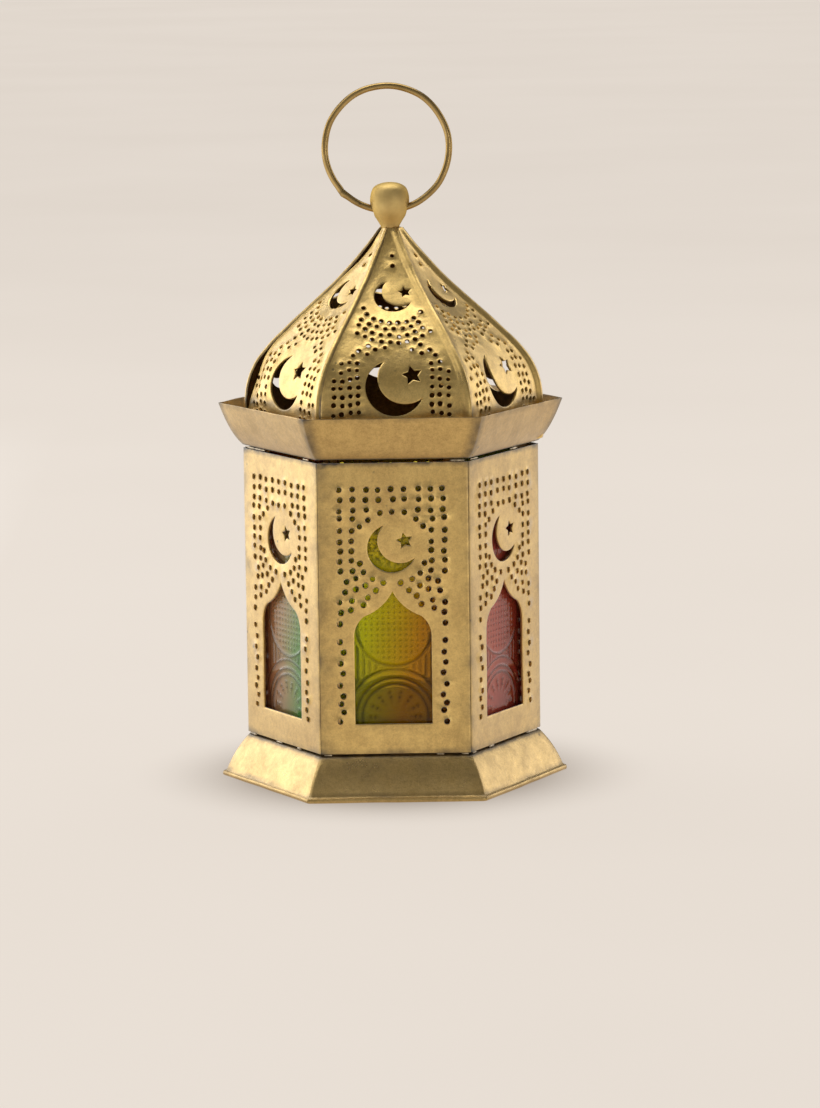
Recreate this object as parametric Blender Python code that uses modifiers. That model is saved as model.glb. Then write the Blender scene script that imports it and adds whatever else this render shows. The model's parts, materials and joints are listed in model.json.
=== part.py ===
"""Hexagonal candle lantern with a pierced sheet-metal body, a six-gore roof and a carrying ring.

The lantern stands on the plane z = 0 and its axis is the Z axis. Every side of the hexagon is
modelled facing -Y, the front, and turned about Z to its place. Lengths are in metres.
"""

import math

import bmesh
import bpy
from mathutils import Matrix, Vector

MM = 0.001

# Driving dimensions
BODY_SIDE = 45.0 * MM  # width of one side, which is also the corner radius of a hexagon
SHEET = 0.8 * MM
GAP = 0.3 * MM  # clearance between pieces that are soldered together
BASE_TOP = 12.9 * MM
BODY_TOP = 101.3 * MM
COLLAR_TOP = 114.6 * MM
BASE_FOOT_RADIUS = 53.0 * MM  # corner radius where the skirt meets the table
COLLAR_RIM_RADIUS = 52.4 * MM
FLANGE_RADIUS = 40.0 * MM  # corner radius of the hexagonal holes in the skirt's and collar's flanges

EAVE_RADIUS = 44.7 * MM  # corner radius of the roof's upright lower edge
EAVE_TOP = 116.0 * MM
EAVE_BEND_RADIUS = 20.8 * MM
EAVE_BEND = math.radians(47)
# Corner radius and height along the roof's upper slope, from the bend to the tip
ROOF_SLOPE = [(27.2, 141.4), (16.4, 151.2), (9.9, 158.6), (6.2, 163.4), (3.6, 166.8)]
RIB_WIDTH = 1.8 * MM
RIB_HEIGHT = 0.9 * MM

PANE_THICKNESS = 3.0 * MM
PANE_DEPTH = 2.1 * MM  # from the outer face of the metal to the outer face of the glass
PANE_HALF_WIDTH = 17.7 * MM
PANE_TOP = 99.0 * MM
CHANNEL_OUTER = 18.6 * MM  # half width over the two channels of one side
CHANNEL_LEG = 2.1 * MM
CHANNEL_SHEET = 0.7 * MM

WINDOW_HALF_WIDTH = 11.5 * MM
WINDOW_SILL = 9.2 * MM  # above the lower edge of the side
WINDOW_SPRING = 35.7 * MM
WINDOW_PEAK = 49.2 * MM
SIDE_CRESCENT = (0.0, 62.1 * MM, 7.3 * MM)  # across, up, radius
SIDE_STAR = (3.8 * MM, 64.4 * MM, 2.5 * MM)
# Distance down the slope from the roof's tip, and radius
UPPER_CRESCENT = (23.8 * MM, 5.7 * MM)
UPPER_STAR = (3.5 * MM, 22.2 * MM, 2.0 * MM)
LOWER_CRESCENT = (56.0 * MM, 8.8 * MM)
LOWER_STAR = (5.1 * MM, 52.4 * MM, 3.2 * MM)
# How far a gore's crescents and stars were set across and up from their places, where they were
PUNCH_OFF = {
    "rear": (2.5 * MM, 2.5 * MM), "rear_left": (2.5 * MM, 2.5 * MM), "rear_right": (1.5 * MM, 0.0),
}

CUP_RADIUS = 20.6 * MM
CUP_HEIGHT = 8.0 * MM

RING_PIVOT = 172.5 * MM
RING_RADIUS = 18.7 * MM  # to the middle of the wire
RING_WIRE = 2.0 * MM
RING_HOLE_RADIUS = 2.2 * MM

KNUCKLE_RADIUS = 1.6 * MM
PIN_RADIUS = 0.7 * MM
PIN_CLEARANCE = 0.3 * MM
HINGE_HEIGHTS = {"lower": 22.0 * MM, "upper": 80.0 * MM}  # foot of each hinge above the table
HINGE_LEAF_HEIGHT = 5.8 * MM
HINGE_LEAF_LENGTH = 9.0 * MM

LATCH_ACROSS = 20.2 * MM  # from the middle of the door to the latch's rivet
LATCH_HEIGHT = 66.0 * MM
LATCH_REACH = 6.2 * MM
LATCH_HALF_WIDTH = 1.7 * MM
LATCH_LIFT = 0.4 * MM  # clearance under, over and round the turn button
KEEPER_START, KEEPER_END = 6.0 * MM, 14.0 * MM  # along the neighbouring side, from the corner
KEEPER_TALL = 5.0 * MM
KNOB_ACROSS = LATCH_ACROSS - 3.4 * MM
KNOB_HEIGHT = 56.0 * MM

APOTHEM = BODY_SIDE * math.cos(math.pi / 6)
DOOR_CLEARANCE = 0.5 * MM
FLOOR_TOP = BASE_TOP + GAP + SHEET
BODY_FOOT = BASE_TOP + GAP

# Side names and the direction that each faces, counted from the front round to the right
SIDES = {
    "front": 0, "front_right": 60, "rear_right": 120,
    "rear": 180, "rear_left": 240, "front_left": 300,
}
AMBER, RED, GREEN = (0.62, 0.50, 0.03), (0.45, 0.03, 0.05), (0.05, 0.33, 0.12)
GLASS_COLOURS = {
    "front": AMBER, "front_right": RED, "rear_right": GREEN,
    "rear": AMBER, "rear_left": RED, "front_left": GREEN,
}


def clear_scene():
    for item in list(bpy.data.objects):
        bpy.data.objects.remove(item, do_unlink=True)


def new_collection(name):
    collection = bpy.data.collections.new(name)
    bpy.context.scene.collection.children.link(collection)
    return collection


clear_scene()
PARTS = new_collection("candle_lantern")
CUTTERS = new_collection("cutters")


# Materials


def material(name, colour, metallic, roughness):
    """One Principled material for one piece."""
    made = bpy.data.materials.new(name)
    made.use_nodes = True
    shader = made.node_tree.nodes["Principled BSDF"]
    shader.inputs["Base Color"].default_value = (*colour, 1.0)
    shader.inputs["Metallic"].default_value = metallic
    shader.inputs["Roughness"].default_value = roughness
    return made


def brass(name, shade=1.0, roughness=0.4):
    return material(name, (0.62 * shade, 0.45 * shade, 0.20 * shade), 1.0, roughness)


# Places: one empty for each side, and one on each joint's axis


def empty(name, location=(0, 0, 0), turn=0.0, parent=None):
    pivot = bpy.data.objects.new(name, None)
    pivot.location = location
    pivot.rotation_euler.z = turn
    pivot.parent = parent
    PARTS.objects.link(pivot)
    return pivot


def keep_in_place(child, parent):
    """Parents the child without moving it."""
    child.parent = parent
    child.matrix_parent_inverse = placed(parent).inverted()


def placed(item):
    """The world matrix that the item's own location, rotation and parents give it."""
    own = Matrix.LocRotScale(item.location, item.rotation_euler, item.scale)
    if item.parent is None:
        return own
    return placed(item.parent) @ item.matrix_parent_inverse @ own


HINGE_OFFSET = (KNUCKLE_RADIUS + GAP) / math.cos(math.pi / 6)
DOOR_AXIS = Vector((
    BODY_SIDE / 2 + HINGE_OFFSET * math.sin(math.pi / 6),
    APOTHEM + HINGE_OFFSET * math.cos(math.pi / 6),
    BODY_FOOT,
))
DOOR_PIVOT = empty("door_pivot", DOOR_AXIS)
RING_PIVOT_EMPTY = empty("ring_pivot", (0, 0, RING_PIVOT))
SIDE_EMPTY = {side: empty(f"side_{side}", turn=math.radians(angle)) for side, angle in SIDES.items()}
keep_in_place(SIDE_EMPTY["rear"], DOOR_PIVOT)
ROOF_EMPTY = {side: empty(f"roof_{side}", turn=math.radians(angle)) for side, angle in SIDES.items()}


# Solids


def finish(name, mesh, look, parent=None, smooth_angle=None):
    """Links a mesh as one part, shaded smooth up to an angle where it is round."""
    part = bpy.data.objects.new(name, mesh)
    PARTS.objects.link(part)
    part.parent = parent
    mesh.materials.append(look)
    if smooth_angle is not None:
        mesh.shade_smooth()
        mesh.set_sharp_from_angle(angle=math.radians(smooth_angle))
    return part


def mesh_from(bm, name):
    bmesh.ops.recalc_face_normals(bm, faces=bm.faces)
    mesh = bpy.data.meshes.new(name)
    bm.to_mesh(mesh)
    bm.free()
    return mesh


def extrusion(name, outline, along):
    """A mesh of a flat outline of 3-D points swept along a vector."""
    bm = bmesh.new()
    face = bm.faces.new([bm.verts.new(point) for point in outline])
    swept = bmesh.ops.extrude_face_region(bm, geom=[face])
    moved = [item for item in swept["geom"] if isinstance(item, bmesh.types.BMVert)]
    bmesh.ops.translate(bm, vec=along, verts=moved)
    return mesh_from(bm, name)


def loft(name, sections):
    """A mesh through sections that all have the same number of points, capped at both ends."""
    bm = bmesh.new()
    rings = [[bm.verts.new(point) for point in section] for section in sections]
    for lower, upper in zip(rings, rings[1:]):
        for i in range(len(lower)):
            j = (i + 1) % len(lower)
            bm.faces.new((lower[i], lower[j], upper[j], upper[i]))
    bm.faces.new(rings[0])
    bm.faces.new(rings[-1])
    return mesh_from(bm, name)


def turned(name, profile, steps, look, parent=None, smooth_angle=40, closed=False):
    """A profile of (radius, height) points turned about Z with a Screw modifier."""
    mesh = bpy.data.meshes.new(name)
    edges = [(i, i + 1) for i in range(len(profile) - 1)]
    if closed:
        edges.append((len(profile) - 1, 0))
    mesh.from_pydata([(radius, 0, height) for radius, height in profile], edges, [])
    part = finish(name, mesh, look, parent)
    screw = part.modifiers.new("turn", "SCREW")
    screw.steps = steps
    screw.render_steps = steps
    screw.use_merge_vertices = True
    screw.merge_threshold = 0.00001
    screw.use_smooth_shade = smooth_angle is not None
    return part


def cutter(name, mesh, parent=None):
    tool = bpy.data.objects.new(name, mesh)
    CUTTERS.objects.link(tool)
    tool.parent = parent
    tool.hide_render = True
    tool.display_type = "WIRE"
    return tool


def cut(part, tool):
    boolean = part.modifiers.new(tool.name, "BOOLEAN")
    boolean.operation = "DIFFERENCE"
    boolean.solver = "EXACT"
    boolean.object = tool


def cylinder_mesh(name, radius, length, sides, turn=None):
    """A closed cylinder centred on the origin along Z, or turned by a matrix."""
    bm = bmesh.new()
    bmesh.ops.create_cone(
        bm, cap_ends=True, segments=sides, radius1=radius, radius2=radius, depth=length
    )
    if turn is not None:
        bmesh.ops.transform(bm, matrix=turn, verts=bm.verts)
    return mesh_from(bm, name)


# Outlines


def arc(centre, radius, start, end, steps):
    """Points on an arc, angles in degrees, both ends included."""
    angles = [math.radians(start + (end - start) * i / steps) for i in range(steps + 1)]
    return [(centre[0] + radius * math.cos(a), centre[1] + radius * math.sin(a)) for a in angles]


def crescent(across, up, radius, steps=12):
    """A crescent that opens up and to the right: the outer arc, then the inner one back."""
    opening = 43.0
    offset, inner = 0.47 * radius, 0.93 * radius
    # The two circles cross where both distances hold, which gives the tips' half angle on each
    outer_half = math.degrees(math.acos((radius**2 + offset**2 - inner**2) / (2 * offset * radius)))
    inner_half = math.degrees(math.acos((radius**2 - offset**2 - inner**2) / (2 * offset * inner)))
    away = math.radians(opening)
    inner_centre = (across + offset * math.cos(away), up + offset * math.sin(away))
    outside = arc((across, up), radius, opening + outer_half, opening + 360 - outer_half, steps)
    inside = arc(inner_centre, inner, opening + 360 - inner_half, opening + inner_half, steps - 2)
    return outside + inside[1:-1]


def star(across, up, radius, lean=12.0):
    """A five-pointed star with fat arms."""
    points = []
    for i in range(10):
        reach = radius if i % 2 == 0 else 0.5 * radius
        angle = math.radians(90 + lean + 36 * i)
        points.append((across + reach * math.cos(angle), up + reach * math.sin(angle)))
    return points


def window_outline():
    """A keel-arched window: straight jambs, round shoulders and a drawn-up point."""
    shoulder = 7.6 * MM
    side = [(WINDOW_HALF_WIDTH, WINDOW_SILL)]
    side += arc((WINDOW_HALF_WIDTH - shoulder, WINDOW_SPRING), shoulder, 0, 52, 4)
    foot = side[-1]
    pull = (2.6 * MM, WINDOW_SPRING + 8.3 * MM)
    peak = (0.0, WINDOW_PEAK)
    for i in range(1, 5):
        t = i / 4
        side.append(tuple(
            (1 - t) ** 2 * foot[k] + 2 * t * (1 - t) * pull[k] + t * t * peak[k] for k in range(2)
        ))
    return side + [(-x, y) for x, y in side[-2::-1]]


def offset_profile(points, distance):
    """An open line of (outward, up) points moved inwards by a distance."""
    moved = []
    for i, point in enumerate(points):
        before = Vector(points[max(i - 1, 0)])
        after = Vector(points[min(i + 1, len(points) - 1)])
        here = Vector(point)
        directions = [d.normalized() for d in (here - before, after - here) if d.length > 0]
        along = sum(directions, Vector((0, 0))).normalized()
        stretch = 1 / along.dot(directions[0])
        normal = Vector((-along.y, along.x))
        moved.append(tuple(here + normal * distance * stretch))
    return moved


# Skirt, floor, cup and collar


def flare(start, pull, end, steps=5):
    """A curve from one (radius, height) to another, drawn towards a third."""
    points = []
    for i in range(steps + 1):
        t = i / steps
        points.append(tuple(
            (1 - t) ** 2 * start[k] + 2 * t * (1 - t) * pull[k] + t * t * end[k] for k in range(2)
        ))
    return points


def make_base():
    """A flared skirt: a flange that carries the body, the wall, and a hem turned in at the foot."""
    hem = 2.6 * MM
    outside = flare((44.9 * MM, BASE_TOP), (49.2 * MM, 8.3 * MM), (BASE_FOOT_RADIUS, 0.0))
    inside = offset_profile(outside[::-1], SHEET)
    inner_wall = [p for p in inside if SHEET < p[1] < BASE_TOP - SHEET]
    section = [(FLANGE_RADIUS, BASE_TOP)] + outside
    section += [(BASE_FOOT_RADIUS - hem, 0.0), (BASE_FOOT_RADIUS - hem, SHEET)]
    section += inner_wall + [(FLANGE_RADIUS, BASE_TOP - SHEET)]
    turned("base_skirt", section, 6, brass("base_skirt", 0.95), smooth_angle=None, closed=True)


def make_collar():
    """The same form the other way up: a flange soldered on the body and a wall that opens out."""
    foot = BODY_TOP + GAP
    outside = flare((45.2 * MM, foot), (48.7 * MM, 105.1 * MM), (COLLAR_RIM_RADIUS, COLLAR_TOP))
    inside = offset_profile(outside, SHEET)
    inner_wall = [p for p in inside if p[1] > foot + SHEET + 0.2 * MM]
    section = outside[::-1] + [(FLANGE_RADIUS, foot), (FLANGE_RADIUS, foot + SHEET)]
    section += [(44.6 * MM, foot + SHEET)] + inner_wall
    turned("collar", section, 6, brass("collar", 0.95), smooth_angle=None, closed=True)


def make_floor():
    """The plate that the candle stands over, inside the foot of the body."""
    radius = 43.0 * MM
    low = BASE_TOP + GAP
    turned("floor_plate", [(0, FLOOR_TOP), (radius, FLOOR_TOP), (radius, low), (0, low)], 6,
           brass("floor_plate", 0.8, 0.5), smooth_angle=None)


def make_cup():
    """A shallow cup that keeps a tea light in the middle."""
    foot = FLOOR_TOP + GAP
    top = foot + CUP_HEIGHT
    inner = CUP_RADIUS - SHEET
    profile = [(0, foot + SHEET), (inner, foot + SHEET), (inner, top), (CUP_RADIUS, top),
               (CUP_RADIUS, foot), (0, foot)]
    turned("candle_cup", profile, 32, brass("candle_cup", 0.8, 0.45))


# Sides: pierced sheet, glass and the channels that hold it


def flat_section(half_width, outer_depth, inner_depth, height, mitre=True):
    """Four points of a slab that lies parallel to the front, seen from above."""
    lean = math.tan(math.pi / 6) if mitre else 0.0
    near, far = APOTHEM - outer_depth, APOTHEM - inner_depth
    return [
        (-half_width + outer_depth * lean, -near, height),
        (half_width - outer_depth * lean, -near, height),
        (half_width - inner_depth * lean, -far, height),
        (-half_width + inner_depth * lean, -far, height),
    ]


def on_side(outline, foot, depth):
    """Places an (across, up) outline in a plane parallel to the front."""
    return [(x, -(APOTHEM - depth), foot + y) for x, y in outline]


def make_side(side):
    """One mitred side sheet with its window, crescent and star."""
    is_door = side == "rear"
    name = "door_panel" if is_door else f"panel_{side}"
    foot = BODY_FOOT + (DOOR_CLEARANCE if is_door else 0)
    top = BODY_TOP - (DOOR_CLEARANCE if is_door else 0)
    half = BODY_SIDE / 2 - GAP / 2 / math.cos(math.pi / 6)
    mesh = loft(name, [flat_section(half, 0, SHEET, z) for z in (foot, top)])
    parent = SIDE_EMPTY[side]
    panel = finish(name, mesh, brass(name), parent)
    openings = {
        "window": window_outline(),
        "crescent": crescent(*SIDE_CRESCENT),
        "star": star(*SIDE_STAR),
    }
    through = (0, 2 * SHEET + 2 * MM, 0)
    for label, outline in openings.items():
        tool = extrusion(f"{label}_{side}", on_side(outline, BODY_FOOT, -1 * MM), through)
        cut(panel, cutter(f"{label}_{side}", tool, parent))
    if is_door:
        cut(panel, latch_hole(parent))


def make_pane(side):
    """One pressed-glass pane, resting on the floor plate or on the door's sill."""
    name = "glass_door" if side == "rear" else f"glass_{side}"
    foot = FLOOR_TOP + GAP
    if side == "rear":
        foot += CHANNEL_SHEET + GAP
    back = PANE_DEPTH + PANE_THICKNESS
    sections = [
        flat_section(PANE_HALF_WIDTH, PANE_DEPTH, back, z, mitre=False) for z in (foot, PANE_TOP)
    ]
    look = material(name, GLASS_COLOURS[side], 0.0, 0.1)
    look.node_tree.nodes["Principled BSDF"].inputs["Transmission Weight"].default_value = 0.8
    finish(name, loft(name, sections), look, SIDE_EMPTY[side])


def make_channels(side):
    """The two folded strips that hold a pane's upright edges."""
    owner = "door" if side == "rear" else side
    foot = FLOOR_TOP + GAP
    top = BODY_TOP - 2 * DOOR_CLEARANCE
    front = SHEET + GAP
    back = PANE_DEPTH + PANE_THICKNESS + GAP + CHANNEL_SHEET
    inner = CHANNEL_OUTER - CHANNEL_LEG
    web = CHANNEL_OUTER - CHANNEL_SHEET + 0.1 * MM
    plan = [
        (CHANNEL_OUTER, front), (CHANNEL_OUTER, back), (inner, back), (inner, back - CHANNEL_SHEET),
        (web, back - CHANNEL_SHEET), (web, front + CHANNEL_SHEET), (inner, front + CHANNEL_SHEET),
        (inner, front),
    ]
    for hand, sign in (("left", -1), ("right", 1)):
        name = f"{hand}_channel_{owner}"
        outline = [(sign * x, depth - APOTHEM, foot) for x, depth in plan]
        mesh = extrusion(name, outline, (0, 0, top - foot))
        finish(name, mesh, brass(name, 0.75, 0.5), SIDE_EMPTY[side])


def make_door_sill():
    """The folded strip under the door's pane."""
    foot = FLOOR_TOP + GAP
    front = SHEET + GAP
    back = PANE_DEPTH + PANE_THICKNESS + GAP + CHANNEL_SHEET
    lip = 3.0 * MM
    half = CHANNEL_OUTER - CHANNEL_LEG - GAP
    profile = [
        (front, 0), (back, 0), (back, lip), (back - CHANNEL_SHEET, lip),
        (back - CHANNEL_SHEET, CHANNEL_SHEET), (front, CHANNEL_SHEET),
    ]
    outline = [(-half, depth - APOTHEM, foot + up) for depth, up in profile]
    mesh = extrusion("door_sill", outline, (2 * half, 0, 0))
    finish("door_sill", mesh, brass("door_sill", 0.75, 0.5), SIDE_EMPTY["rear"])


# Roof


def roof_profile():
    """(corner radius, height) from the eave up to the tip: upright, a round bend, then the slope."""
    foot = BODY_TOP + 2 * GAP + SHEET
    points = [(EAVE_RADIUS, foot), (EAVE_RADIUS, foot + 6 * MM)]
    bends = 4
    for i in range(bends + 1):
        angle = EAVE_BEND * i / bends
        points.append((
            EAVE_RADIUS - EAVE_BEND_RADIUS * (1 - math.cos(angle)),
            EAVE_TOP + EAVE_BEND_RADIUS * math.sin(angle),
        ))
    return points + [(radius * MM, height * MM) for radius, height in ROOF_SLOPE]


def face_line():
    """The middle line of a gore as (outward, up) points."""
    return [(radius * math.cos(math.pi / 6), height) for radius, height in roof_profile()]


def gore_sections():
    """Sections of one gore, each with a raised rib along its right edge."""
    outer = face_line()
    inner = offset_profile(outer, SHEET)
    proud = offset_profile(outer, -RIB_HEIGHT)
    low_proud = offset_profile(outer, -0.1 * MM)
    slope = math.tan(math.pi / 6)
    sections = []
    for i, (out, within) in enumerate(zip(outer, inner)):
        rib = proud[i] if i > 0 else low_proud[i]
        half = out[0] * slope - GAP / 2 / math.cos(math.pi / 6)
        inner_half = within[0] * slope - GAP / 2 / math.cos(math.pi / 6)
        middle = tuple((out[k] + 2 * rib[k]) / 3 for k in range(2))
        sections.append([
            (-inner_half, -within[0], within[1]), (inner_half, -within[0], within[1]),
            (half, -out[0], out[1]), (half, -middle[0], middle[1]),
            (half - 0.25 * RIB_WIDTH, -rib[0], rib[1]), (half - 0.75 * RIB_WIDTH, -rib[0], rib[1]),
            (half - RIB_WIDTH, -out[0], out[1]), (-half, -out[0], out[1]),
        ])
    return sections


def on_slope(outline, middle):
    """Places an (across, down the slope) outline square to the slope at a distance from the tip."""
    line = face_line()[::-1]
    run = 0.0
    for start, end in zip(line, line[1:]):
        step = (Vector(end) - Vector(start)).length
        if run + step >= middle:
            break
        run += step
    along = (Vector(end) - Vector(start)).normalized()
    at = Vector(start) + along * (middle - run)
    outwards = Vector((-along.y, along.x))
    origin = at + outwards * 6 * MM
    placed_points = []
    for x, down in outline:
        spot = origin + along * (down - middle)
        placed_points.append((x, -spot.x, spot.y))
    return placed_points, (0, outwards.x * 14 * MM, -outwards.y * 14 * MM)


def down_slope(outline, up_from):
    """Turns an outline drawn upwards from a point into distances down the slope."""
    return [(x, up_from - y) for x, y in outline]


def make_gore(side):
    """One pierced gore of the roof."""
    name = f"roof_gore_{side}"
    parent = ROOF_EMPTY[side]
    gore = finish(name, loft(name, gore_sections()), brass(name), parent)
    openings = []
    right, up = PUNCH_OFF.get(side, (0.0, 0.0))
    for label, (crescent_down, radius), star_at in (
        ("upper", UPPER_CRESCENT, UPPER_STAR), ("lower", LOWER_CRESCENT, LOWER_STAR),
    ):
        down, star_down = crescent_down - up, star_at[1] - up
        moon = down_slope(crescent(right, 0, radius, 10), down)
        spark = down_slope(star(star_at[0] + right, 0, star_at[2]), star_down)
        openings += [(f"{label}_crescent", moon, down), (f"{label}_star", spark, star_down)]
    for label, outline, middle in openings:
        points, through = on_slope(outline, middle)
        tool = extrusion(f"{label}_{side}", points, through)
        cut(gore, cutter(f"{label}_{side}", tool, parent))


# Finial and ring


def make_finial():
    """A pear-shaped bead on a stem that closes the roof's tip, drilled across for the ring."""
    stem = 1.6 * MM
    profile = [
        (0, 181.0), (1.6, 180.9), (3.2, 180.3), (4.6, 179.1), (5.4, 177.5), (5.6, 176.2),
        (5.4, 174.6), (4.9, 173.0), (4.3, 171.4), (3.6, 169.7), (3.0, 168.2), (2.6, 167.2),
    ]
    points = [(radius * MM, height * MM) for radius, height in profile]
    points += [(stem, 167.2 * MM), (stem, 160.0 * MM), (0, 160.0 * MM)]
    bead = turned("finial_bead", points, 24, brass("finial_bead", 0.95, 0.35))
    across = Matrix.Rotation(math.pi / 2, 4, "Y")
    tool = cylinder_mesh("ring_hole", RING_HOLE_RADIUS, 20 * MM, 16, across)
    hole = cutter("ring_hole", tool, RING_PIVOT_EMPTY)
    cut(bead, hole)


def make_ring():
    """The carrying ring, which turns about the wire where it lies in the bead."""
    bpy.ops.mesh.primitive_torus_add(
        major_segments=40, minor_segments=8, major_radius=RING_RADIUS, minor_radius=RING_WIRE / 2,
        location=(0, 0, 0), rotation=(0, 0, 0),
    )
    ring = bpy.context.object
    ring.name = "handle_ring"
    for collection in list(ring.users_collection):
        collection.objects.unlink(ring)
    PARTS.objects.link(ring)
    upright = Matrix.Translation((0, 0, RING_RADIUS)) @ Matrix.Rotation(math.pi / 2, 4, "X")
    ring.data.transform(upright)
    ring.parent = RING_PIVOT_EMPTY
    ring.data.materials.append(brass("handle_ring", 0.8, 0.35))
    ring.data.shade_smooth()


# Door furniture


def latch_hole(parent):
    """A cutter for the latch rivet's hole, square to the door."""
    place = Matrix.Translation((LATCH_ACROSS, -APOTHEM, LATCH_HEIGHT))
    place = place @ Matrix.Rotation(math.pi / 2, 4, "X")
    hole = cylinder_mesh("latch_rivet_hole", PIN_RADIUS + PIN_CLEARANCE, 6 * MM, 12, place)
    return cutter("latch_rivet_hole", hole, parent)


def hinge_leaf(name, foot, axis, away, look, parent):
    """A flat leaf whose edge is rolled into a knuckle round an upright axis, seen from above.

    axis is the pin's place in the side's own frame, and the leaf runs from it along away, +1 or -1.
    """
    bore = PIN_RADIUS + PIN_CLEARANCE
    under = axis.y + KNUCKLE_RADIUS  # the leaf's face towards the side, which faces -Y
    over = under - SHEET
    tip = axis.x + away * HINGE_LEAF_LENGTH
    meet = math.acos((KNUCKLE_RADIUS - SHEET) / KNUCKLE_RADIUS)
    ring = []
    turns = 14
    for i in range(turns + 1):
        angle = math.pi / 2 + (2 * math.pi - meet) * i / turns
        ring.append((
            axis.x + away * KNUCKLE_RADIUS * math.cos(angle),
            axis.y + KNUCKLE_RADIUS * math.sin(angle),
        ))
    outline = [(tip, under)] + ring + [(tip, over)]
    leaf = plate_with_hole(name, outline, (axis.x, axis.y), bore, foot, HINGE_LEAF_HEIGHT)
    return finish(name, leaf, look, parent)


def plate_with_hole(name, outline, centre, radius, foot, height):
    """A filled 2-D curve with one round hole, given a thickness and made a mesh."""
    curve = bpy.data.curves.new(name, "CURVE")
    curve.dimensions = "2D"
    curve.fill_mode = "BOTH"
    curve.extrude = height / 2
    curve.render_resolution_u = 0
    for points in (outline, arc(centre, radius, 0, 330, 11)):
        spline = curve.splines.new("POLY")
        spline.points.add(len(points) - 1)
        for point, (x, y) in zip(spline.points, points):
            point.co = (x, y, 0, 1)
        spline.use_cyclic_u = True
    drawn = bpy.data.objects.new(name + "_outline", curve)
    PARTS.objects.link(drawn)
    graph = bpy.context.evaluated_depsgraph_get()
    mesh = bpy.data.meshes.new_from_object(drawn.evaluated_get(graph))
    bpy.data.objects.remove(drawn, do_unlink=True)
    bpy.data.curves.remove(curve)
    mesh.name = name
    bm = bmesh.new()
    bm.from_mesh(mesh)
    bmesh.ops.remove_doubles(bm, verts=bm.verts, dist=0.000001)
    bmesh.ops.translate(bm, vec=(0, 0, foot + height / 2), verts=bm.verts)
    bmesh.ops.recalc_face_normals(bm, faces=bm.faces)
    bm.to_mesh(mesh)
    bm.free()
    mesh.materials.clear()
    return mesh


def in_side_frame(point, side):
    """A world point in the frame of a side that faces -Y."""
    return Matrix.Rotation(-math.radians(SIDES[side]), 4, "Z") @ point


def make_hinges():
    """Two lift-off hinges: the lower leaf on the neighbouring side, the upper leaf on the door."""
    for place, foot in HINGE_HEIGHTS.items():
        fixed = in_side_frame(DOOR_AXIS, "rear_right")
        hinge_leaf(f"hinge_{place}_fixed_leaf", foot, fixed, -1,
                   brass(f"hinge_{place}_fixed_leaf", 0.85), SIDE_EMPTY["rear_right"])
        moving = in_side_frame(DOOR_AXIS, "rear")
        hinge_leaf(f"hinge_{place}_door_leaf", foot + HINGE_LEAF_HEIGHT + GAP, moving, 1,
                   brass(f"hinge_{place}_door_leaf", 0.85), SIDE_EMPTY["rear"])
        head = 1.3 * MM
        tall = 2 * HINGE_LEAF_HEIGHT + 3 * GAP
        profile = [
            (0, tall + 0.6 * MM), (head, tall + 0.6 * MM), (head, tall), (PIN_RADIUS, tall),
            (PIN_RADIUS, 0), (head, 0), (head, -0.6 * MM), (0, -0.6 * MM),
        ]
        pin = turned(f"hinge_{place}_pin", profile, 12, brass(f"hinge_{place}_pin", 0.7))
        pin.location = (DOOR_AXIS.x, DOOR_AXIS.y, foot - GAP)


def facing_out(part, across, height):
    """Points a part that was turned about Z straight out of the door."""
    part.location = (across, -APOTHEM, height)
    part.rotation_euler.x = math.pi / 2
    part.parent = SIDE_EMPTY["rear"]


def make_knob():
    """A small mushroom knob soldered to the door beside the window."""
    profile = [
        (0, 5.6), (1.4, 5.4), (2.4, 4.6), (2.6, 3.8), (2.2, 3.0), (1.2, 2.4), (1.1, 1.2), (2.0, 0.6),
        (2.0, 0),
    ]
    points = [(radius * MM, height * MM + GAP) for radius, height in profile] + [(0, GAP)]
    knob = turned("door_knob", points, 20, brass("door_knob", 0.85, 0.3))
    facing_out(knob, KNOB_ACROSS, KNOB_HEIGHT)


def make_latch():
    """A turn button on a rivet. At rest it stands upright, off the keeper, so the door is free."""
    pivot = empty("latch_pivot", (LATCH_ACROSS, -APOTHEM, LATCH_HEIGHT), parent=SIDE_EMPTY["rear"])
    outline = arc((0, 0), LATCH_HALF_WIDTH, 180, 360, 6)
    outline += arc((0, LATCH_REACH - LATCH_HALF_WIDTH), LATCH_HALF_WIDTH, 0, 180, 6)
    bore = PIN_RADIUS + PIN_CLEARANCE
    plate = plate_with_hole("latch_button", outline, (0, 0), bore, LATCH_LIFT, SHEET)
    plate.transform(Matrix.Rotation(math.pi / 2, 4, "X"))
    finish("latch_button", plate, brass("latch_button", 0.85), pivot)

    head = 1.3 * MM
    top = 2 * LATCH_LIFT + SHEET
    low = -SHEET - GAP
    profile = [
        (0, top + 0.6 * MM), (head, top + 0.6 * MM), (head, top), (PIN_RADIUS, top),
        (PIN_RADIUS, low), (head, low), (head, low - 0.6 * MM), (0, low - 0.6 * MM),
    ]
    rivet = turned("latch_rivet", profile, 12, brass("latch_rivet", 0.8))
    facing_out(rivet, LATCH_ACROSS, LATCH_HEIGHT)


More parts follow.
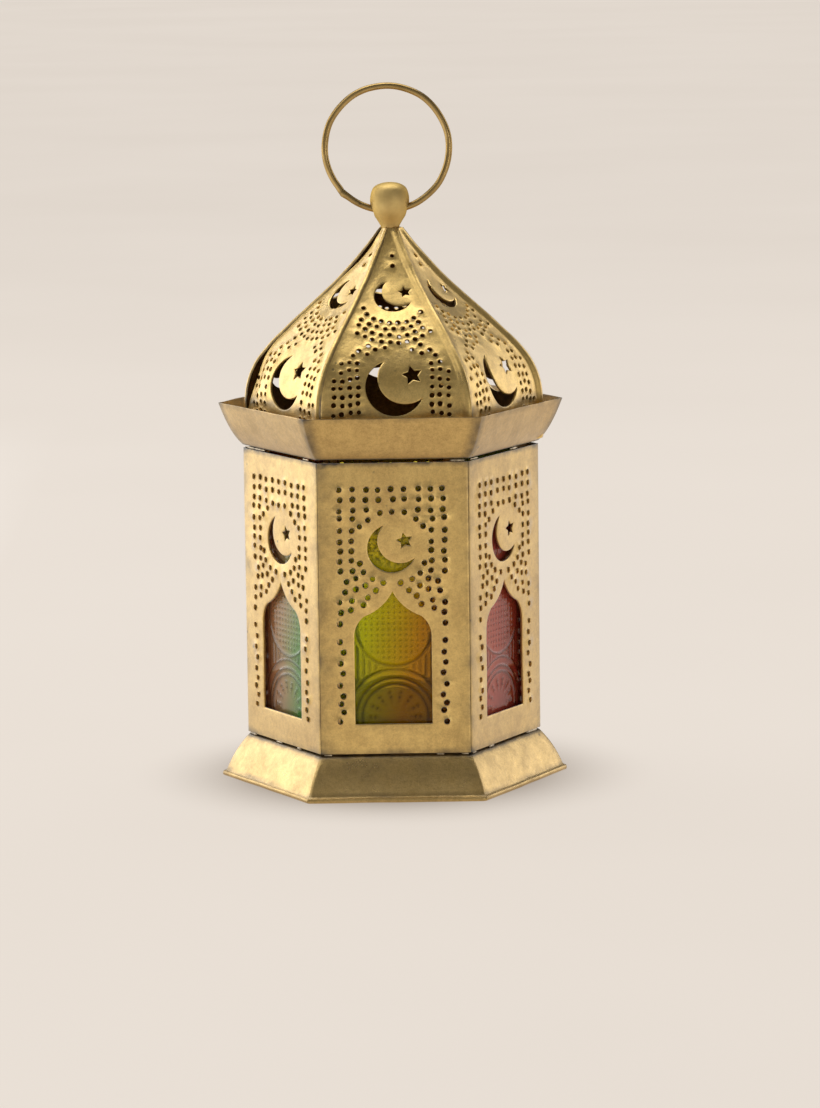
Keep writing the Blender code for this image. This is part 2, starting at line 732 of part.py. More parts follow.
def make_keeper():
    """A bent strap on the side next to the door, which the turned button slides under."""
    corner = Vector((-BODY_SIDE / 2, APOTHEM))
    down_face = Vector((-math.cos(math.pi / 3), -math.sin(math.pi / 3)))
    outwards = Vector((-math.cos(math.pi / 6), math.sin(math.pi / 6)))
    inner_x = -LATCH_ACROSS - LATCH_REACH - 0.5 * MM
    outer_x = inner_x - SHEET
    hook_x = -BODY_SIDE / 2 - 0.9 * MM
    hook_low = APOTHEM + 2 * LATCH_LIFT + SHEET
    hook_top = hook_low + SHEET

    def on_face(distance, lift):
        return corner + down_face * distance + outwards * lift

    def meets(x, lift):
        """Where the strap's face at this lift reaches the given x."""
        start = on_face(0, lift)
        return on_face((x - start.x) / down_face.x, lift)

    lifted = GAP + SHEET
    plan = [
        on_face(KEEPER_START, GAP), on_face(KEEPER_END, GAP), on_face(KEEPER_END, lifted),
        meets(outer_x, lifted), Vector((outer_x, hook_top)), Vector((hook_x, hook_top)),
        Vector((hook_x, hook_low)), Vector((inner_x, hook_low)), meets(inner_x, lifted),
        on_face(KEEPER_START, lifted),
    ]
    foot = LATCH_HEIGHT - KEEPER_TALL / 2
    mesh = extrusion("latch_keeper", [(p.x, p.y, foot) for p in plan], (0, 0, KEEPER_TALL))
    finish("latch_keeper", mesh, brass("latch_keeper", 0.85))


make_base()
make_floor()
make_cup()
make_collar()
for side_name in SIDES:
    make_side(side_name)
    make_pane(side_name)
    make_channels(side_name)
    make_gore(side_name)
make_door_sill()
make_finial()
make_ring()
make_hinges()
make_knob()
make_latch()
make_keeper()
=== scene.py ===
"""The looks of a hexagonal brass candle lantern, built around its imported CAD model.

The lantern's axis is Z and its front faces -Y. Each side is drawn facing -Y in its own frame, with X
across and Z up, and turned about Z to its place. Lengths are in metres unless a name says millimetres.
"""

import json
import random
from math import acos, atan2, ceil, copysign, cos, degrees, dist, exp, hypot, pi, radians, sin, sqrt, tan

import bmesh
import bpy
import numpy as np
from mathutils import Matrix, Vector, noise
from mathutils.geometry import delaunay_2d_cdt


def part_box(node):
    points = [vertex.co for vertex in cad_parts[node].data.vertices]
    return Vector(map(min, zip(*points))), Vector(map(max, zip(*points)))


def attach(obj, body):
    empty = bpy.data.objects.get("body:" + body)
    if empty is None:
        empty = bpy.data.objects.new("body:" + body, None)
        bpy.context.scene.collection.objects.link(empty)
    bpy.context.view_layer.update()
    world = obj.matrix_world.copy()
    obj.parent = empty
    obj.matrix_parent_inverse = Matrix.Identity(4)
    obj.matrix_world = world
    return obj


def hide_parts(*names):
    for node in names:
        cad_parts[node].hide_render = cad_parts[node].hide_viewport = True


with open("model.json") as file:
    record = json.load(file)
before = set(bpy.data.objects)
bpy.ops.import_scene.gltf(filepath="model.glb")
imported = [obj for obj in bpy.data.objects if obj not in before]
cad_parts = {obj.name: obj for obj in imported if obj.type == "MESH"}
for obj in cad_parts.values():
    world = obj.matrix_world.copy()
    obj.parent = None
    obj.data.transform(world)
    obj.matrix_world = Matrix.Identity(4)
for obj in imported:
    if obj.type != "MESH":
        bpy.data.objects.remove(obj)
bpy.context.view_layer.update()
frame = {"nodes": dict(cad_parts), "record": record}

MM = 0.001
SIDES = {
    "front": 0, "front_right": 60, "rear_right": 120,
    "rear": 180, "rear_left": 240, "front_left": 300,
}
SIXTH = pi / 6
NODE_BODY = {
    node: body for body, nodes in frame["record"]["behaviour"]["bodies"].items() for node in nodes
}

# Places, from the CAD boxes
APOTHEM = -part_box("panel_front")[0].y
BODY_FOOT, BODY_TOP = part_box("panel_front")[0].z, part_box("panel_front")[1].z
BASE_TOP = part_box("base_skirt")[1].z
FOOT_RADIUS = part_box("base_skirt")[1].x
COLLAR_FOOT, COLLAR_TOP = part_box("collar")[0].z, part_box("collar")[1].z
BEAD_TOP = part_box("finial_bead")[1].z
RING_LOW, RING_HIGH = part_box("handle_ring")

# Sizes of the finer work
SHEET = 0.5 * MM
CORNER_BEND = 1.5 * MM  # radius of the fold between two sides
JOIN = 0.08 * MM  # half the space left between neighbouring sheets
ROOF_SHIFT = Vector((1.1 * MM, 0, 0))  # the roof sits a little to one side in the collar


def bell(distance, width):
    """1 at no distance, and falling off smoothly over a width."""
    return exp(-(distance / width) ** 2)


# Materials


def feed(tree, made, inputs):
    """Sets a node's inputs. Each is a value, or the socket that feeds it."""
    for key, value in inputs.items():
        if isinstance(value, bpy.types.NodeSocket):
            tree.links.new(value, made.inputs[key])
        else:
            made.inputs[key].default_value = value


def node(tree, kind, inputs=None, **settings):
    made = tree.nodes.new("ShaderNode" + kind)
    for key, value in settings.items():
        setattr(made, key, value)
    feed(tree, made, inputs or {})
    return made


def new_material(name):
    """A new material, its node tree, its shader and its object coordinates."""
    made = bpy.data.materials.new(name)
    made.use_nodes = True
    tree = made.node_tree
    return made, tree, tree.nodes["Principled BSDF"], node(tree, "TexCoord").outputs["Object"]


def spread(tree, value, low, high, to_low=0.0, to_high=1.0):
    """A value stretched from one range to another and clamped."""
    return node(tree, "MapRange", {
        "Value": value, "From Min": low, "From Max": high, "To Min": to_low, "To Max": to_high,
    }).outputs["Result"]


def maths(tree, operation, first, second):
    return node(tree, "Math", {0: first, 1: second}, operation=operation).outputs[0]


def product(tree, first, second):
    return maths(tree, "MULTIPLY", first, second)


def weighted(tree, *terms):
    """The sum of values, each given with its weight."""
    total = 0.0
    for value, weight in terms:
        total = maths(tree, "ADD", total, product(tree, value, weight))
    return total


def mixed(tree, share, first, second):
    """A mix of two colours, each a colour or a socket."""
    return node(tree, "Mix", {0: share, 6: first, 7: second}, data_type="RGBA").outputs[2]


def noise_at(tree, where, scale, detail=4.0, rough=0.55):
    return node(tree, "TexNoise", {
        "Vector": where, "Scale": scale, "Detail": detail, "Roughness": rough,
    }).outputs["Fac"]


# Near-black for grime, and for painted shade in gaps and under overhangs
GRIME_AND_SHADE_TONE = (0.028, 0.018, 0.009, 1)
PIT_DIRT = (0.07, 0.045, 0.02, 1)


def brass(name, bright, patina, rough=(0.3, 0.46), wear=1.0, grain=1.0, coat=0.9, edge=(1.0, 1.0, 1.0),
          haze=0.0):
    """Hand-finished brass: patches of patina, fine grain, pits, scratches, and grime where it gathers,
    with painted shade where the mesh marks gaps and overhangs.

    rough is the range of roughness, edge tints what the metal reflects at a glancing angle, and haze is a
    dusty sheen over it.
    """
    made, tree, shader, place = new_material(name)
    blotch = noise_at(tree, place, 48.0, 5.0, 0.6)
    mottle = noise_at(tree, place, 230.0, 6.0, 0.62)
    fine = noise_at(tree, place, 780.0, 4.0, 0.6)
    speckle = noise_at(tree, place, 2400.0, 3.0, 0.7)
    brushed = node(tree, "Mapping", {"Vector": place, "Scale": (240.0, 240.0, 2600.0)})
    brushing = noise_at(tree, brushed.outputs["Vector"], 1.0, 2.0, 0.5)
    streaked = node(tree, "Mapping", {
        "Vector": place, "Rotation": (0.4, 0.3, 0.9), "Scale": (1500.0, 30.0, 60.0),
    })
    scratch = spread(tree, noise_at(tree, streaked.outputs["Vector"], 1.0, 1.0, 0.4), 0.70, 0.76)
    pits = node(tree, "TexVoronoi", {"Vector": place, "Scale": 170.0}).outputs["Distance"]
    pit = product(tree, spread(tree, pits, 0.10, 0.045), spread(tree, blotch, 0.48, 0.6))
    # The mesh's mark holds real grime together with painted shade in gaps and under overhangs
    gathered = node(tree, "Attribute", attribute_name="grime_and_shade").outputs["Fac"]
    grime_and_shade = product(tree, gathered, spread(tree, mottle, 0.25, 0.6, 0.55, 1.25))

    tint = weighted(
        tree, (spread(tree, blotch, 0.33, 0.67), 0.55), (spread(tree, mottle, 0.35, 0.68), 0.45),
        (spread(tree, speckle, 0.42, 0.62, -0.5, 0.5), 0.45 * grain),
        (spread(tree, fine, 0.4, 0.64, -0.4, 0.6), 0.4 * grain),
    )
    colour = mixed(tree, product(tree, tint, wear), (*bright, 1), (*patina, 1))
    colour = mixed(tree, product(tree, pit, 0.75), colour, PIT_DIRT)
    dull = weighted(
        tree, (spread(tree, mottle, 0.3, 0.7, *rough), 1.0),
        (spread(tree, blotch, 0.35, 0.7, -0.02, 0.05), 1.0), (grime_and_shade, 0.3),
    )
    relief = weighted(
        tree, (mottle, 0.9), (speckle, 0.24 * grain), (brushing, 0.07 * grain), (fine, 0.3 * grain),
        (scratch, -0.10), (pit, -0.35),
    )
    bump = node(tree, "Bump", {"Height": relief, "Strength": 0.05 + 0.5 * grain, "Distance": 0.28 * MM})
    feed(tree, shader, {
        "Base Color": mixed(tree, grime_and_shade, colour, GRIME_AND_SHADE_TONE), "Roughness": dull,
        "Metallic": spread(tree, grime_and_shade, 0.2, 1.0, 1.0, 0.35), "Normal": bump.outputs["Normal"],
        "Coat Weight": coat, "Coat IOR": 1.6, "Coat Roughness": 0.34,
        "Sheen Weight": haze, "Sheen Roughness": 0.4, "Specular Tint": (*edge, 1),
    })
    return made


def glass(name, colours, span=(0.0, 1.0), tilt=0.0, clear=0.78, coat=0.2, ior=1.46, crown=None):
    """Coloured pressed glass.

    Several colours run into each other across a span of X, in millimetres, and tilt times the height is
    added to X; these sweeps paint light, reflections and shade onto the pane. clear is the share of light
    that goes through, and the rest scatters in the glass. crown is the colour of the glass above the
    window, speckled dark and bright as painted glints.
    """
    made, tree, shader, place = new_material(name)
    cloud = noise_at(tree, place, 60.0, 3.0, 0.5)
    through = clear
    if len(colours) > 1:
        apart = node(tree, "SeparateXYZ", {"Vector": place})
        across = weighted(tree, (apart.outputs["X"], 1.0), (apart.outputs["Z"], tilt), (cloud, 5 * MM))
        ramp = node(tree, "ValToRGB", {"Fac": spread(tree, across, span[0] * MM, span[1] * MM)})
        stops = ramp.color_ramp.elements
        while len(stops) < len(colours):
            stops.new(0.5)
        for i, colour in enumerate(colours):
            stops[i].position = i / (len(colours) - 1)
            stops[i].color = (*colour, 1)
        colour = ramp.outputs["Color"]
        if crown:
            # Painted glints: the amber above the window speckled dark and bright, standing in for sparkle on
            # stippled glass
            painted_glints = spread(tree, noise_at(tree, place, 900.0, 3.0, 0.7), 0.40, 0.54)
            crown_with_painted_glints = mixed(tree, painted_glints, (*[0.3 * c for c in crown], 1), (*crown, 1))
            above = spread(tree, apart.outputs["Z"], 64 * MM, 74 * MM)
            colour = mixed(tree, above, colour, crown_with_painted_glints)
            through = spread(tree, above, 0.0, 1.0, clear, 0.15)
    else:
        paler, deeper = (*colours[0], 1), (*[0.72 * c for c in colours[0]], 1)
        colour = mixed(tree, spread(tree, cloud, 0.3, 0.7), paler, deeper)
    raised = node(tree, "Attribute", attribute_name="raised").outputs["Fac"]
    thicker = node(tree, "HueSaturation", {"Value": 0.15, "Saturation": 1.1, "Color": colour})
    ripple = noise_at(tree, place, 420.0, 3.0, 0.6)
    bump = node(tree, "Bump", {"Height": ripple, "Strength": 0.35, "Distance": 0.25 * MM})
    feed(tree, shader, {
        "Base Color": mixed(tree, raised, colour, thicker.outputs["Color"]),
        "Transmission Weight": through, "IOR": ior, "Roughness": 0.09, "Normal": bump.outputs["Normal"],
        "Coat Weight": coat, "Coat IOR": 1.9, "Coat Roughness": 0.12,
    })
    return made


FLOOR_TONES = (0.745, 0.675, 0.605, 1), (0.725, 0.655, 0.585, 1)
# Painted window light, and painted shade ahead of the lantern and round its foot
PAINTED_WINDOW_LIGHT = (1.32, 1.30, 1.27, 1)
PAINTED_SHADE_AHEAD = (0.44, 0.405, 0.37, 1)
SHADE_TONE = (0.22, 0.175, 0.135, 1)


def plain_floor():
    """A pale floor that gives its own light, with painted shade round the lantern's foot.

    Outside the picture a painted pool of window light glows to the left, and painted shade darkens it
    ahead of the lantern. The brass mirrors both.
    """
    made, tree, shader, place = new_material("floor")
    cloud = noise_at(tree, place, 3.0, 3.0, 0.5)
    colour = mixed(tree, spread(tree, cloud, 0.3, 0.7), *FLOOR_TONES)
    apart = node(tree, "SeparateXYZ", {"Vector": place})
    # A painted pool of window light glows to the left, and painted shade darkens the floor ahead
    window = product(tree, spread(tree, apart.outputs["X"], -0.15, -0.40),
                   spread(tree, apart.outputs["Y"], 0.9, 0.4))
    colour = mixed(tree, window, colour, PAINTED_WINDOW_LIGHT)
    colour = mixed(tree, spread(tree, apart.outputs["Y"], -0.40, -1.10), colour, PAINTED_SHADE_AHEAD)
    away = node(tree, "VectorMath", {0: place}, operation="LENGTH").outputs["Value"]
    shade = maths(tree, "POWER", spread(tree, away, FOOT_RADIUS + 30 * MM, APOTHEM + 7 * MM), 2.0)
    colour = mixed(tree, product(tree, shade, 0.62), colour, SHADE_TONE)
    feed(tree, shader, {
        "Emission Color": colour, "Emission Strength": 1.0, "Base Color": (0.05, 0.046, 0.042, 1),
        "Roughness": 0.9,
    })
    return made


# Bright and tarnished colour of each brass, then what else sets it apart
BRASS_LOOKS = {
    "side_brass": ((0.83, 0.57, 0.175), (0.60, 0.385, 0.105), {"haze": 0.9}),
    "roof_brass": ((0.88, 0.60, 0.18), (0.62, 0.41, 0.11), {"rough": (0.24, 0.42)}),
    # The skirt and collar brasses are darker copies of the side brass, as painted shade on these parts
    "skirt_brass": ((0.74, 0.50, 0.17), (0.52, 0.34, 0.095), {"rough": (0.24, 0.42)}),
    "collar_brass_painted_darker": (
        (0.64, 0.42, 0.13), (0.44, 0.275, 0.075), {"rough": (0.28, 0.44), "coat": 0.7, "haze": 0.3},
    ),
    "inner_brass": ((0.84, 0.58, 0.24), (0.60, 0.38, 0.13), {"rough": (0.36, 0.55), "coat": 0.2}),
    "sooty_brass": ((0.34, 0.18, 0.055), (0.16, 0.08, 0.025), {"rough": (0.4, 0.6), "coat": 0.0}),
    "fitting_brass": ((0.74, 0.54, 0.26), (0.45, 0.31, 0.12), {"rough": (0.22, 0.4)}),
    "wire_brass": (
        (0.54, 0.37, 0.14), (0.30, 0.195, 0.065),
        {"rough": (0.2, 0.34), "grain": 0.05, "coat": 0.2, "edge": (0.5, 0.36, 0.18)},
    ),
    "bead_brass": (
        (0.78, 0.57, 0.23), (0.60, 0.43, 0.16),
        {"rough": (0.5, 0.58), "wear": 0.8, "grain": 0.12, "coat": 0.0, "edge": (0.16, 0.11, 0.045)},
    ),
    "solder": ((0.78, 0.66, 0.46), (0.40, 0.31, 0.18), {"rough": (0.25, 0.45)}),
}
BRASS = {name: brass(name, bright, patina, **rest) for name, (bright, patina, rest) in BRASS_LOOKS.items()}
# The sweeps of the three front panes are painted light over each glass's own colour: a lime tint of light
# from the side turning amber to the right on the amber front pane, red-brown and pink painted reflections on
# the green left pane, and a pink painted reflection turning to darker painted shade at the right of the red
# right pane.
LIME_TO_AMBER_PAINTED_LIGHT = [(0.74, 0.96, 0.005), (0.64, 0.58, 0.003), (0.62, 0.30, 0.003)]
RED_TO_GREEN_PAINTED_LIGHT = [(0.60, 0.20, 0.10), (0.76, 0.54, 0.26), (0.25, 0.62, 0.17)]
PINK_TO_RED_PAINTED_LIGHT = [(0.94, 0.34, 0.25), (0.82, 0.17, 0.12), (0.46, 0.06, 0.035)]
AMBER, GREEN, RED = (0.97, 0.82, 0.10), (0.22, 0.46, 0.14), (0.58, 0.14, 0.10)
# Slot and glass of each side's pane
GLASS = {
    "front": ("amber_glass", glass("lime_amber_glass_painted_light", LIME_TO_AMBER_PAINTED_LIGHT, (-26.0, -1.0), tilt=-0.24, clear=0.70,
                                   coat=0.0, ior=1.28, crown=(1.0, 0.78, 0.015))),
    "front_right": ("red_glass", glass("red_glass", PINK_TO_RED_PAINTED_LIGHT, (27.0, 38.0), clear=0.52, coat=0.05)),
    "rear_right": ("green_glass", glass("green_glass_rear", [GREEN])),
    "rear": ("amber_glass", glass("amber_glass_rear", [AMBER], clear=1.0)),
    "rear_left": ("red_glass", glass("red_glass_rear", [RED])),
    "front_left": ("green_glass", glass("green_glass", RED_TO_GREEN_PAINTED_LIGHT, (-36.0, -26.0), clear=0.60, coat=0.1)),
}


# Meshes


def turned_to(side):
    return Matrix.Rotation(radians(SIDES[side]), 4, "Z")


def corners_of(name, side):
    """The points of a CAD node in a side's own frame."""
    back = turned_to(side).inverted()
    return [back @ v.co for v in frame["nodes"][name].data.vertices]


def added(name, data):
    """A new object in the scene."""
    made = bpy.data.objects.new(name, data)
    bpy.context.scene.collection.objects.link(made)
    return made


def piece(name, vertices, faces, materials, slot, source=None, sharp=38, marks=None, kinds=None):
    """Makes one piece, which replaces a CAD node and rides with it, or rides on the lantern without one.

    marks gives named values at the vertices, and kinds each face's place in the list of materials.
    """
    mesh = bpy.data.meshes.new(name)
    mesh.from_pydata([tuple(v) for v in vertices], [], faces)
    for look in materials:
        mesh.materials.append(look)
    if kinds is not None:
        mesh.polygons.foreach_set("material_index", kinds)
    mesh.update()
    bm = bmesh.new()
    bm.from_mesh(mesh)
    bmesh.ops.recalc_face_normals(bm, faces=bm.faces)
    bm.to_mesh(mesh)
    bm.free()
    for mark, values in (marks or {}).items():
        attribute = mesh.attributes.new(mark, "FLOAT", "POINT")
        attribute.data.foreach_set("value", np.clip(np.array(values, np.float32), 0, 1))
    mesh.shade_smooth()
    mesh.set_sharp_from_angle(angle=radians(sharp))
    made = added(name, mesh)
    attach(made, NODE_BODY[source] if source else "lantern")
    if source:
        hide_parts(source)
    return made


def netted(rows, columns, wrap=True, closed=False):
    """Faces between vertices in rows. wrap closes each row, and closed joins the last row to the first."""
    faces = []
    for j in range(rows if closed else rows - 1):
        here, there = j * columns, (j + 1) % rows * columns
        for i in range(columns if wrap else columns - 1):
            k = (i + 1) % columns
            faces.append((here + i, here + k, there + k, there + i))
    return faces


def evenly(count):
    """Angles that divide a full turn."""
    return [2 * pi * i / count for i in range(count)]


def arc(centre, radius, start, end, steps):
    """Points on an arc, angles in degrees, both ends included."""
    angles = [radians(start + (end - start) * i / steps) for i in range(steps + 1)]
    return [(centre[0] + radius * cos(a), centre[1] + radius * sin(a)) for a in angles]


def pulled(start, pull, end, steps):
    """A curve from start to end that is drawn towards a third point."""
    points = []
    for t in (i / steps for i in range(steps + 1)):
        near, middle, far = (1 - t) ** 2, 2 * t * (1 - t), t * t
        points.append(tuple(near * start[k] + middle * pull[k] + far * end[k] for k in (0, 1)))
    return points


def smooth_line(points, steps):
    """A Catmull-Rom curve through points, each span in the same number of steps."""
    line = []
    ends = [points[0]] + list(points) + [points[-1]]
    for a, b, c, d in zip(ends, ends[1:], ends[2:], ends[3:]):
        for i in range(steps):
            t = i / steps
            line.append(tuple(
                0.5 * (2 * b[k] + (c[k] - a[k]) * t + (2 * a[k] - 5 * b[k] + 4 * c[k] - d[k]) * t * t
                       + (3 * b[k] - a[k] - 3 * c[k] + d[k]) * t ** 3)
                for k in range(len(b))
            ))
    return line + [tuple(points[-1])]


def divided(loop, longest):
    """A closed loop with no edge longer than the given length."""
    points = []
    for a, b in zip(loop, loop[1:] + loop[:1]):
        parts = max(1, ceil(dist(a, b) / longest))
        along, up = b[0] - a[0], b[1] - a[1]
        points += [(a[0] + along * i / parts, a[1] + up * i / parts) for i in range(parts)]
    return points


def grown(loop, by):
    """A closed anticlockwise loop moved outwards."""
    area = sum(a[0] * b[1] - b[0] * a[1] for a, b in zip(loop, loop[1:] + loop[:1]))
    hand = 1 if area > 0 else -1
    moved = []
    for i, here in enumerate(loop):
        before = Vector(here) - Vector(loop[i - 1])
        after = Vector(loop[(i + 1) % len(loop)]) - Vector(here)
        along = (before.normalized() + after.normalized()).normalized()
        stretch = min(1.6, 1 / max(0.4, along.dot(after.normalized())))
        moved.append((here[0] + hand * along.y * by * stretch, here[1] - hand * along.x * by * stretch))
    return moved


def within(points, loop):
    """Which of an array of points lie inside a closed loop."""
    x, y = points[:, 0], points[:, 1]
    hit = np.zeros(len(points), bool)
    for (ax, ay), (bx, by) in zip(loop, loop[1:] + loop[:1]):
        crosses = (ay > y) != (by > y)
        if ay != by:
            hit ^= crosses & (x < (bx - ax) * (y - ay) / (by - ay) + ax)
    return hit


def wavy(x, y, z, size, seed=0.0):
    """A smooth random number from about -1 to 1 that changes over the given size."""
    return noise.noise(Vector((x / size + seed, y / size - 3.7 * seed, z / size + 1.3 * seed)))


# Openings and holes, in a side's own frame


def crescent(across, up, radius, steps=30):
    """A crescent that opens up and to the right: the outer arc, then the inner one back."""
    opening = 43.0
    offset, inner = 0.47 * radius, 0.93 * radius
    outer_half = degrees(acos((radius**2 + offset**2 - inner**2) / (2 * offset * radius)))
    inner_half = degrees(acos((radius**2 - offset**2 - inner**2) / (2 * offset * inner)))
    inner_centre = (across + offset * cos(radians(opening)), up + offset * sin(radians(opening)))
    outside = arc((across, up), radius, opening + outer_half, opening + 360 - outer_half, steps)
    inside = arc(inner_centre, inner, opening + 360 - inner_half, opening + inner_half, steps - 6)
    return outside + inside[1:-1]


def star(across, up, radius):
    """A five-pointed star with fat arms, leaning a little to the left."""
    reaches = (radius, 0.5 * radius) * 5
    angles = [radians(102 + 36 * i) for i in range(10)]
    return [(across + reach * cos(angle), up + reach * sin(angle)) for reach, angle in zip(reaches, angles)]


def keel_arch():
    """The window: straight jambs, round shoulders and a drawn-up point."""
    half_width, shoulder = 11.5 * MM, 7.6 * MM
    sill, spring, peak = 9.2 * MM, 35.7 * MM, 49.2 * MM
    side = [(half_width, sill)] + arc((half_width - shoulder, spring), shoulder, 0, 52, 8)
    side += pulled(side[-1], (2.6 * MM, spring + 8.3 * MM), (0.0, peak), 8)[1:]
    return side + [(-x, y) for x, y in side[-2::-1]]


# Rows of punched holes beside and above the window, in millimetres: height above the foot, then how far
# each hole is from the middle, on both sides
PANEL_ROWS = [
    (79.8, (0, 3.85, 7.8, 11.6, 15.3)), (76.8, (0, 3.85, 7.8, 11.6, 15.3)),
    (72.8, (0, 3.7)), (73.5, (7.8, 11.6, 15.3)), (71.0, (7.0, 12.0, 15.6)), (68.8, (9.6,)),
    (67.5, (11.8, 15.5)), (64.4, (11.8, 15.5)), (61.3, (11.8, 15.5)), (58.5, (11.8, 15.5)),
    (57.6, (9.6,)), (55.3, (11.8, 15.5)), (55.0, (8.4,)), (53.0, (6.0, 10.7)), (52.2, (13.6,)),
    (51.9, (2.6,)), (50.9, (8.0,)), (50.0, (10.9,)), (49.4, (4.8, 14.0)), (47.5, (7.1,)),
    (46.6, (11.8,)), (45.9, (15.6,)), (45.3, (8.8,)), (43.9, (12.3,)), (42.7, (15.4,)), (39.6, (15.7,)),
]
JAMB_HOLES = (34.2, 30.9, 27.7, 24.5, 21.0, 17.9, 15.5, 12.7, 9.9)
PANEL_CENTRE = -0.5 * MM  # the pattern was struck a little off the middle
HOLE_RADIUS = 0.82 * MM


def panel_holes(chance, taken):
    """(across, up, radius, depth) of each punched hole, with the small errors of handwork.

    taken holds places without holes, as ranges across and up.
    """
    spots = [(sign * x, up) for up, row in PANEL_ROWS for x in row for sign in ((1, -1) if x else (1,))]
    spots += [
        (sign * (15.3 + 0.45 * (-1) ** i), up) for i, up in enumerate(JAMB_HOLES) for sign in (1, -1)
    ]
    holes = []
    for x, up in spots:
        across, height = (value * MM + chance.gauss(0, 0.15 * MM) for value in (x, up))
        radius = HOLE_RADIUS * chance.uniform(0.92, 1.08)
        depth = chance.uniform(0.28, 0.42) * MM
        if not any(a < across < b and c < height < d for a, b, c, d in taken):
            holes.append((across, height, radius, depth))
    return holes


FITTINGS = [
    n for n in frame["nodes"] if n.startswith("hinge_") or n.startswith("latch_") or n == "door_knob"
]


def fitting_boxes(side):
    """Where hinges, latch and knob lie on a side, as ranges across and up, with a margin."""
    margin = 1.4 * MM
    found = []
    for name in FITTINGS:
        on_face = [p for p in corners_of(name, side) if abs(p.y + APOTHEM) < 2 * MM and abs(p.x) < BODY_HALF]
        if on_face:
            across, up = [p.x for p in on_face], [p.z - BODY_FOOT for p in on_face]
            ends = min(across) - margin, max(across) + margin, min(up) - margin, max(up) + margin
            found.append(ends)
    return found


# Pierced sheet

GRID = 2.3 * MM  # spacing of the free points between edges
CUT_STEP = 0.9 * MM  # longest edge round an opening
# Rings of points round openings and holes: how far out in millimetres, then the lift. The lift is in
# millimetres round an opening, and a share of the hole's depth round a hole.
OPENING_RIM = ((0.0, -0.16), (0.16, -0.04), (0.4, 0.0))
HOLE_RIM = ((0.0, -0.4), (0.1, 0.42), (0.28, 0.0))
HOLE_POINTS = 12


def pierced_sheet(name, source, looks, outline, openings, holes, lines, place, grime_and_shade_at):
    """A piece of sheet with two faces, triangulated from a flat pattern and set in place.

    looks are the outer and the inner brass. outline and openings are closed loops, holes are (across,
    up, radius, depth), and lines are open runs of points that edges must follow. place(u, v, lift, back)
    gives a point in space, and the last argument the grime and painted shade at (u, v).
    """
    points, lifts, edges = [], [], []

    def add(run, lift=0.0, closed=True):
        first, count = len(points), len(run)
        points.extend(run)
        lifts.extend([lift] * count)
        edges.extend((first + i, first + (i + 1) % count) for i in range(count if closed else count - 1))

    def on_sheet(spots):
        inside = within(spots, outline)
        for loop in cut_loops:
            inside &= ~within(spots, loop)
        return inside

    add(outline)
    cut_loops = [divided(loop, CUT_STEP) for loop in openings]
    for loop in cut_loops:
        for wider, lift in OPENING_RIM:
            add(grown(loop, wider * MM) if wider else loop, lift * MM)
    turn = 2 * pi / HOLE_POINTS
    for u, v, radius, depth in holes:
        for wider, share in HOLE_RIM:
            reach = radius + wider * MM
            angles = [turn * i for i in range(HOLE_POINTS)]
            add([(u + reach * cos(a), v + reach * sin(a)) for a in angles], depth * share)
    for line in lines:
        add(line, closed=False)

    fixed = np.array(points)
    low, high = fixed.min(0), fixed.max(0)
    columns = np.arange(low[0], high[0], GRID)
    rows = np.arange(low[1], high[1], GRID * 0.87)
    grid = np.array([(x + (GRID / 2 if j % 2 else 0), y) for j, y in enumerate(rows) for x in columns])
    grid = grid[on_sheet(grid)]
    apart = np.sqrt(((grid[:, None, :] - fixed[None, :, :]) ** 2).sum(2)).min(1)
    grid = grid[apart > 0.42 * GRID]
    points.extend(map(tuple, grid))
    lifts.extend([0.0] * len(grid))

    flat, _, triangles, origins, _, _ = delaunay_2d_cdt([Vector(p) for p in points], edges, [], 0, 1e-7)
    lift = [lifts[o[0]] if o else 0.0 for o in origins]
    flat_array = np.array([tuple(p) for p in flat])
    middles = flat_array[np.array([list(t) for t in triangles])].mean(1)
    centres = np.array([(h[0], h[1]) for h in holes])
    reaches = np.array([h[2] for h in holes]) * cos(turn / 2)
    far = np.sqrt(((middles[:, None, :] - centres[None, :, :]) ** 2).sum(2))
    keep = on_sheet(middles) & ~(far < reaches).any(1)
    triangles = [tuple(t) for t, kept in zip(triangles, keep) if kept]

    used = sorted({i for t in triangles for i in t})
    number = {old: new for new, old in enumerate(used)}
    triangles = [tuple(number[i] for i in t) for t in triangles]
    count = len(used)
    vertices = [place(flat[i][0], flat[i][1], lift[i], back) for back in (0.0, SHEET) for i in used]
    grime_and_shade = [grime_and_shade_at(flat[i][0], flat[i][1]) for i in used]

    seen = {edge: True for a, b, c in triangles for edge in ((a, b), (b, c), (c, a))}
    border = [edge for edge in seen if (edge[1], edge[0]) not in seen]
    faces = triangles + [(a + count, c + count, b + count) for a, b, c in triangles]
    faces += [(b, a, a + count, b + count) for a, b in border]
    kinds = [0] * len(triangles) + [1] * len(triangles) + [0] * len(border)
    grime_and_shade += [min(1.0, g + 0.1) for g in grime_and_shade]
    piece(name, vertices, faces, [BRASS[look] for look in looks], looks[0], source, marks={"grime_and_shade": grime_and_shade},
          kinds=kinds)


BODY_HALF = APOTHEM * tan(SIXTH)
BEND_START = BODY_HALF - CORNER_BEND * tan(SIXTH)
PANEL_HALF = BEND_START + CORNER_BEND * SIXTH - JOIN


# Dents in a sheet: how deep and how wide, in millimetres
PANEL_DENTS = ((0.16, 17), (0.05, 6))
GORE_DENTS = ((0.16, 15), (0.085, 5))


def dented(u, v, dents, seed):
    return sum(deep * MM * wavy(u, v, 0, wide * MM, seed) for deep, wide in dents)


